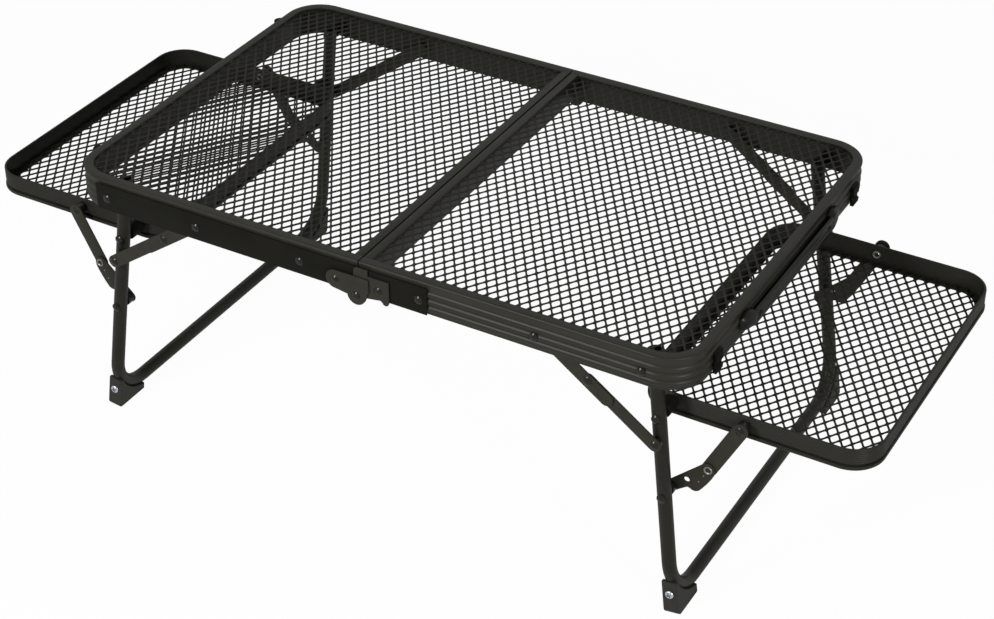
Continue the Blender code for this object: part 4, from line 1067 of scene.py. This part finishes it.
def buildWingStays(side):
    barLength, barAngle, plateAngle = wingStayShape()
    shank, clinch, bush = rivet["shank"], rivet["clinch"], stay["bush"]
    near, far = linkFaces("wingBarY")
    wallInner, wallOuter = railFaces()
    bars = platePair(bmesh.new(), [linkOutline(barLength, stay["wingBarWidth"])], near, far, stay["edge"])
    pin = [(shank, wallInner), (shank, wallOuter), (bush, wallOuter), (bush, near + clinch)]
    pins = turnedPair(turnedPair(bmesh.new(), pin), sunkHead(rivet["radius"], far, stay["barHead"]))
    rings = eyelet(bmesh.new(), *stay["barEyelet"], wallInner + 0.0004, wallInner - 0.0014, 0)
    makeLinks(side, "WingStayBar", placeAt(side, *layout["wingStayWing"], -barAngle), bars, pins, rings)
    near, far = linkFaces("wingPlateY")
    loops = [wingPlateOutline(), circleHole(*stay["plateHole"])]
    bars = platePair(bmesh.new(), loops, near, far, stay["edge"])
    inner, outer = tubeFaces(layout["wingStayDown"])
    pin = [(bush, far - clinch), (bush, inner), (shank, inner), (shank, outer)]
    pins = turnedPair(bmesh.new(), pin + domedHead(rivet["radius"], outer, 1, legPivotPin["lowHead"]))
    rings = eyelet(bmesh.new(), *stay["plateEyelet"], far - clinch, far + 0.0011, layout["wingPlateLength"])
    for spot in stay["plateDots"]:
        dimple(rings, *stay["plateDot"], far, *spot)
    matrix = placeAt(side, *alongLeg(layout["wingStayDown"]), -plateAngle)
    makeLinks(side, "WingStayPlate", matrix, bars, pins, rings)


# Handle and latches

handle = {
    "half": 0.102, "low": 0.2485, "high": 0.2660, "boss": 0.020, "bow": 0.0079, "strapOut": 0.0071,
    "strap": 0.0026, "strapTop": 0.82, "ribs": 3, "ribDeep": 0.0006, "capY": 0.0740, "capRadius": 0.0032,
}
latch = {
    "y": 0.1465, "width": 0.013, "edge": 0.0004,
    "knobLow": 0.2545, "knobHigh": 0.2680, "knobHalf": 0.006, "knobEdge": 0.0008,
    "hook": ((0, 0.2412), (0.0034, 0.2412), (0.0038, 0.2450), (0.0022, 0.2462), (0.0021, 0.2492),
             (0.0034, 0.2512), (0.0030, 0.2590), (0, 0.2612)),
}


def handleSection(across):
    start = handle["half"] - handle["boss"]
    inner, outer, rib, power = handle["strapOut"] - handle["strap"], handle["strapOut"], 1.0, 9.0
    low, high = 0.0, handle["strapTop"]
    if across > start:
        share = min(1.0, (across - start) / handle["boss"])
        swell = sin(pi * min(1.0, share * 2.2) / 2)
        fall = sqrt(max(0.0, 1 - share ** 2.8))
        outer = max(0.0010, (outer + (handle["bow"] - outer) * swell) * fall)
        inner, rib, power = 0.0, 0.0, 9.0 - 6.4 * swell
        high += (1.0 - high) * swell
        squeeze = 0.58 * (1 - fall) * (high - low) / 2
        low, high = low + squeeze, high - squeeze
    points = [(inner, low)]
    steps = handle["ribs"] * 8
    for step in range(steps + 1):
        up = step / steps
        bulge = (1 - abs(2 * up - 1) ** power) ** (1 / power) if 0 < step < steps else 0.45
        groove = max(0.0, cos(2 * pi * handle["ribs"] * up)) if 2 < step < steps - 2 else 0.0
        out = inner + (outer - inner) * bulge - handle["ribDeep"] * groove * rib
        points.append((out, low + (high - low) * up))
    return points + [(inner, high)]


def buildHandle():
    near = layout["halfLength"] + layout["gap"]
    height = handle["high"] - handle["low"]
    half, start = handle["half"], handle["half"] - handle["boss"]
    outward = [0.0, 0.025, 0.05, start - 0.0022, start - 0.0002, start + 0.0002]
    shares = (0.1, 0.2, 0.32, 0.45, 0.58, 0.7, 0.8, 0.88, 0.94, 0.98, 1.0)
    outward += [start + handle["boss"] * share for share in shares]
    bm = bmesh.new()
    loops = []
    for y in [-value for value in outward[:0:-1]] + outward:
        section = handleSection(min(abs(y), half))
        loops.append([(near + x, y, handle["low"] + up * height) for x, up in section])
    loft(bm, loops)
    middle = handle["low"] + height * handle["strapTop"] / 2
    face = near + handle["strapOut"]
    radius = handle["capRadius"]
    for y in (-handle["capY"], handle["capY"]):
        shape = [(radius, face - 0.0008), (radius, face + 0.0004), (radius * 0.86, face + 0.0006)]
        shape += [(radius * 0.62, face + 0.0005), (radius * 0.5, face), (radius * 0.1, face)]
        turned(bm, shape, lambda a, b, level: (level, a, b), y, middle)
    mesh = meshOf("carryHandle", bm, 30)
    settle("carryHandle", mesh, Matrix.Identity(4), "handlePlastic", "right_half", ["carry_handle"])


def buildLatches():
    near = layout["halfLength"] + layout["gap"]
    hook = [(near + out, up) for out, up in latch["hook"]]
    bm = bmesh.new()
    for y in (-latch["y"], latch["y"]):
        low, high = y - latch["width"] / 2, y + latch["width"] / 2
        plate(bm, [hook], low, high, latch["edge"], lambda a, b, level: (a, level, b))
    # the hooks take the near-black finish: partly their own dark plastic, partly painted shade of the notch
    makePiece("right", "LatchHooks", bm, "half", "latchPlastic", bothEnds("latch_hook"))
    half = latch["knobHalf"]
    knob = [(near, -half)] + arcPoints((near + 0.002, 0), half, -90, 90, 20) + [(near, half)]
    bm = bmesh.new()
    for y in (-latch["y"], latch["y"]):
        plate(bm, [knob], latch["knobLow"], latch["knobHigh"], latch["knobEdge"],
              lambda a, b, level: (a, y + b, level))
    makePiece("left", "LatchKnobs", bm, "half", "latchPlastic", bothEnds("latch_knob"))


for side in sides:
    buildRim(side)
    buildCrossbar(side)
    buildNet(side, "top")
    buildNet(side, "wing")
    buildSeamPlates(side)
    buildHalfRivets(side)
    buildLegPivots(side)
    buildLeg(side)
    buildFeet(side)
    buildFootScrews(side)
    buildWingPivots(side)
    buildWing(side)
    buildLegStays(side)
    buildWingStays(side)
    print(side, "side built")
buildSeamPins()
buildHandle()
buildLatches()
for helper in (netCell, rivetHead, screwHead):
    bpy.data.objects.remove(helper)
print("pieces built")

# Floor, light and camera

studio = {
    "floorHalf": 30, "floorLevel": -0.0005, "floorColour": (0.80, 0.80, 0.80), "floorShow": 0.97,
    "worldLight": 0.27, "worldColour": (1.0, 1.0, 1.0),
    "lens": 78.09, "sensor": 36.0, "eye": (0.850, -1.455, 1.272), "pitch": 34.69, "yaw": 29.58,
    "lamps": {
        "keyLamp": {"place": (-0.49, -1.67, 1.13), "aim": (0.1, -0.1, 0.2), "size": (0.4, 0.4), "power": 28},
        "cornerStrip": {"place": (1.57, -0.9, 0.72), "aim": (0.3, -0.18, 0.25), "size": (0.2, 0.5), "power": 15},
    },
}


def showWhite(tree, lighting, white, share, output):
    tree.nodes.clear()
    path = addNode(tree, "ShaderNodeLightPath").outputs
    direct = numberMath(tree, "MAXIMUM", path["Is Camera Ray"], path["Is Glossy Ray"])
    seen = numberMath(tree, "MAXIMUM", direct, path["Is Transmission Ray"])
    shown = addNode(tree, white, {"Color": (1, 1, 1, 1), "Strength": 1.0}).outputs[0]
    light = addNode(tree, *lighting).outputs[0]
    factor = numberMath(tree, "MULTIPLY", seen, share)
    mix = addNode(tree, "ShaderNodeMixShader", {0: factor, 1: light, 2: shown})
    addNode(tree, output, {"Surface": mix.outputs[0]})


def buildFloor():
    bm = bmesh.new()
    bmesh.ops.create_grid(bm, x_segments=1, y_segments=1, size=studio["floorHalf"])
    mesh = meshOf("floor", bm)
    material = bpy.data.materials.new("paleFloor")
    material.use_nodes = True
    lighting = ("ShaderNodeBsdfDiffuse", {"Color": (*studio["floorColour"], 1)})
    share, output = studio["floorShow"], "ShaderNodeOutputMaterial"
    showWhite(material.node_tree, lighting, "ShaderNodeEmission", share, output)
    mesh.materials.append(material)
    floor = newObject("floor", mesh)
    floor.location = (0, 0, studio["floorLevel"])


def buildWorld():
    world = bpy.data.worlds.new("studio")
    bpy.context.scene.world = world
    world.use_nodes = True
    lighting = ("ShaderNodeBackground", {"Color": (*studio["worldColour"], 1),
                                         "Strength": studio["worldLight"]})
    showWhite(world.node_tree, lighting, "ShaderNodeBackground", 1.0, "ShaderNodeOutputWorld")


def buildLamps():
    for name, values in studio["lamps"].items():
        lamp = bpy.data.lights.new(name, "AREA")
        lamp.shape = "RECTANGLE"
        lamp.size, lamp.size_y = values["size"]
        lamp.energy = values["power"]
        thing = newObject(name, lamp)
        thing.location = values["place"]
        aim = Vector(values["aim"]) - Vector(values["place"])
        thing.rotation_euler = aim.to_track_quat("-Z", "Y").to_euler()


def buildCamera():
    camera = bpy.data.cameras.new("camera")
    camera.lens, camera.sensor_width = studio["lens"], studio["sensor"]
    camera.clip_start, camera.clip_end = 0.05, 60
    thing = newObject("camera", camera)
    thing.location = studio["eye"]
    thing.rotation_euler = (radians(90 - studio["pitch"]), 0, radians(studio["yaw"]))
    bpy.context.scene.camera = thing


buildFloor()
buildWorld()
buildLamps()
buildCamera()
bpy.context.scene.view_settings.view_transform = "Standard"
print("studio built")
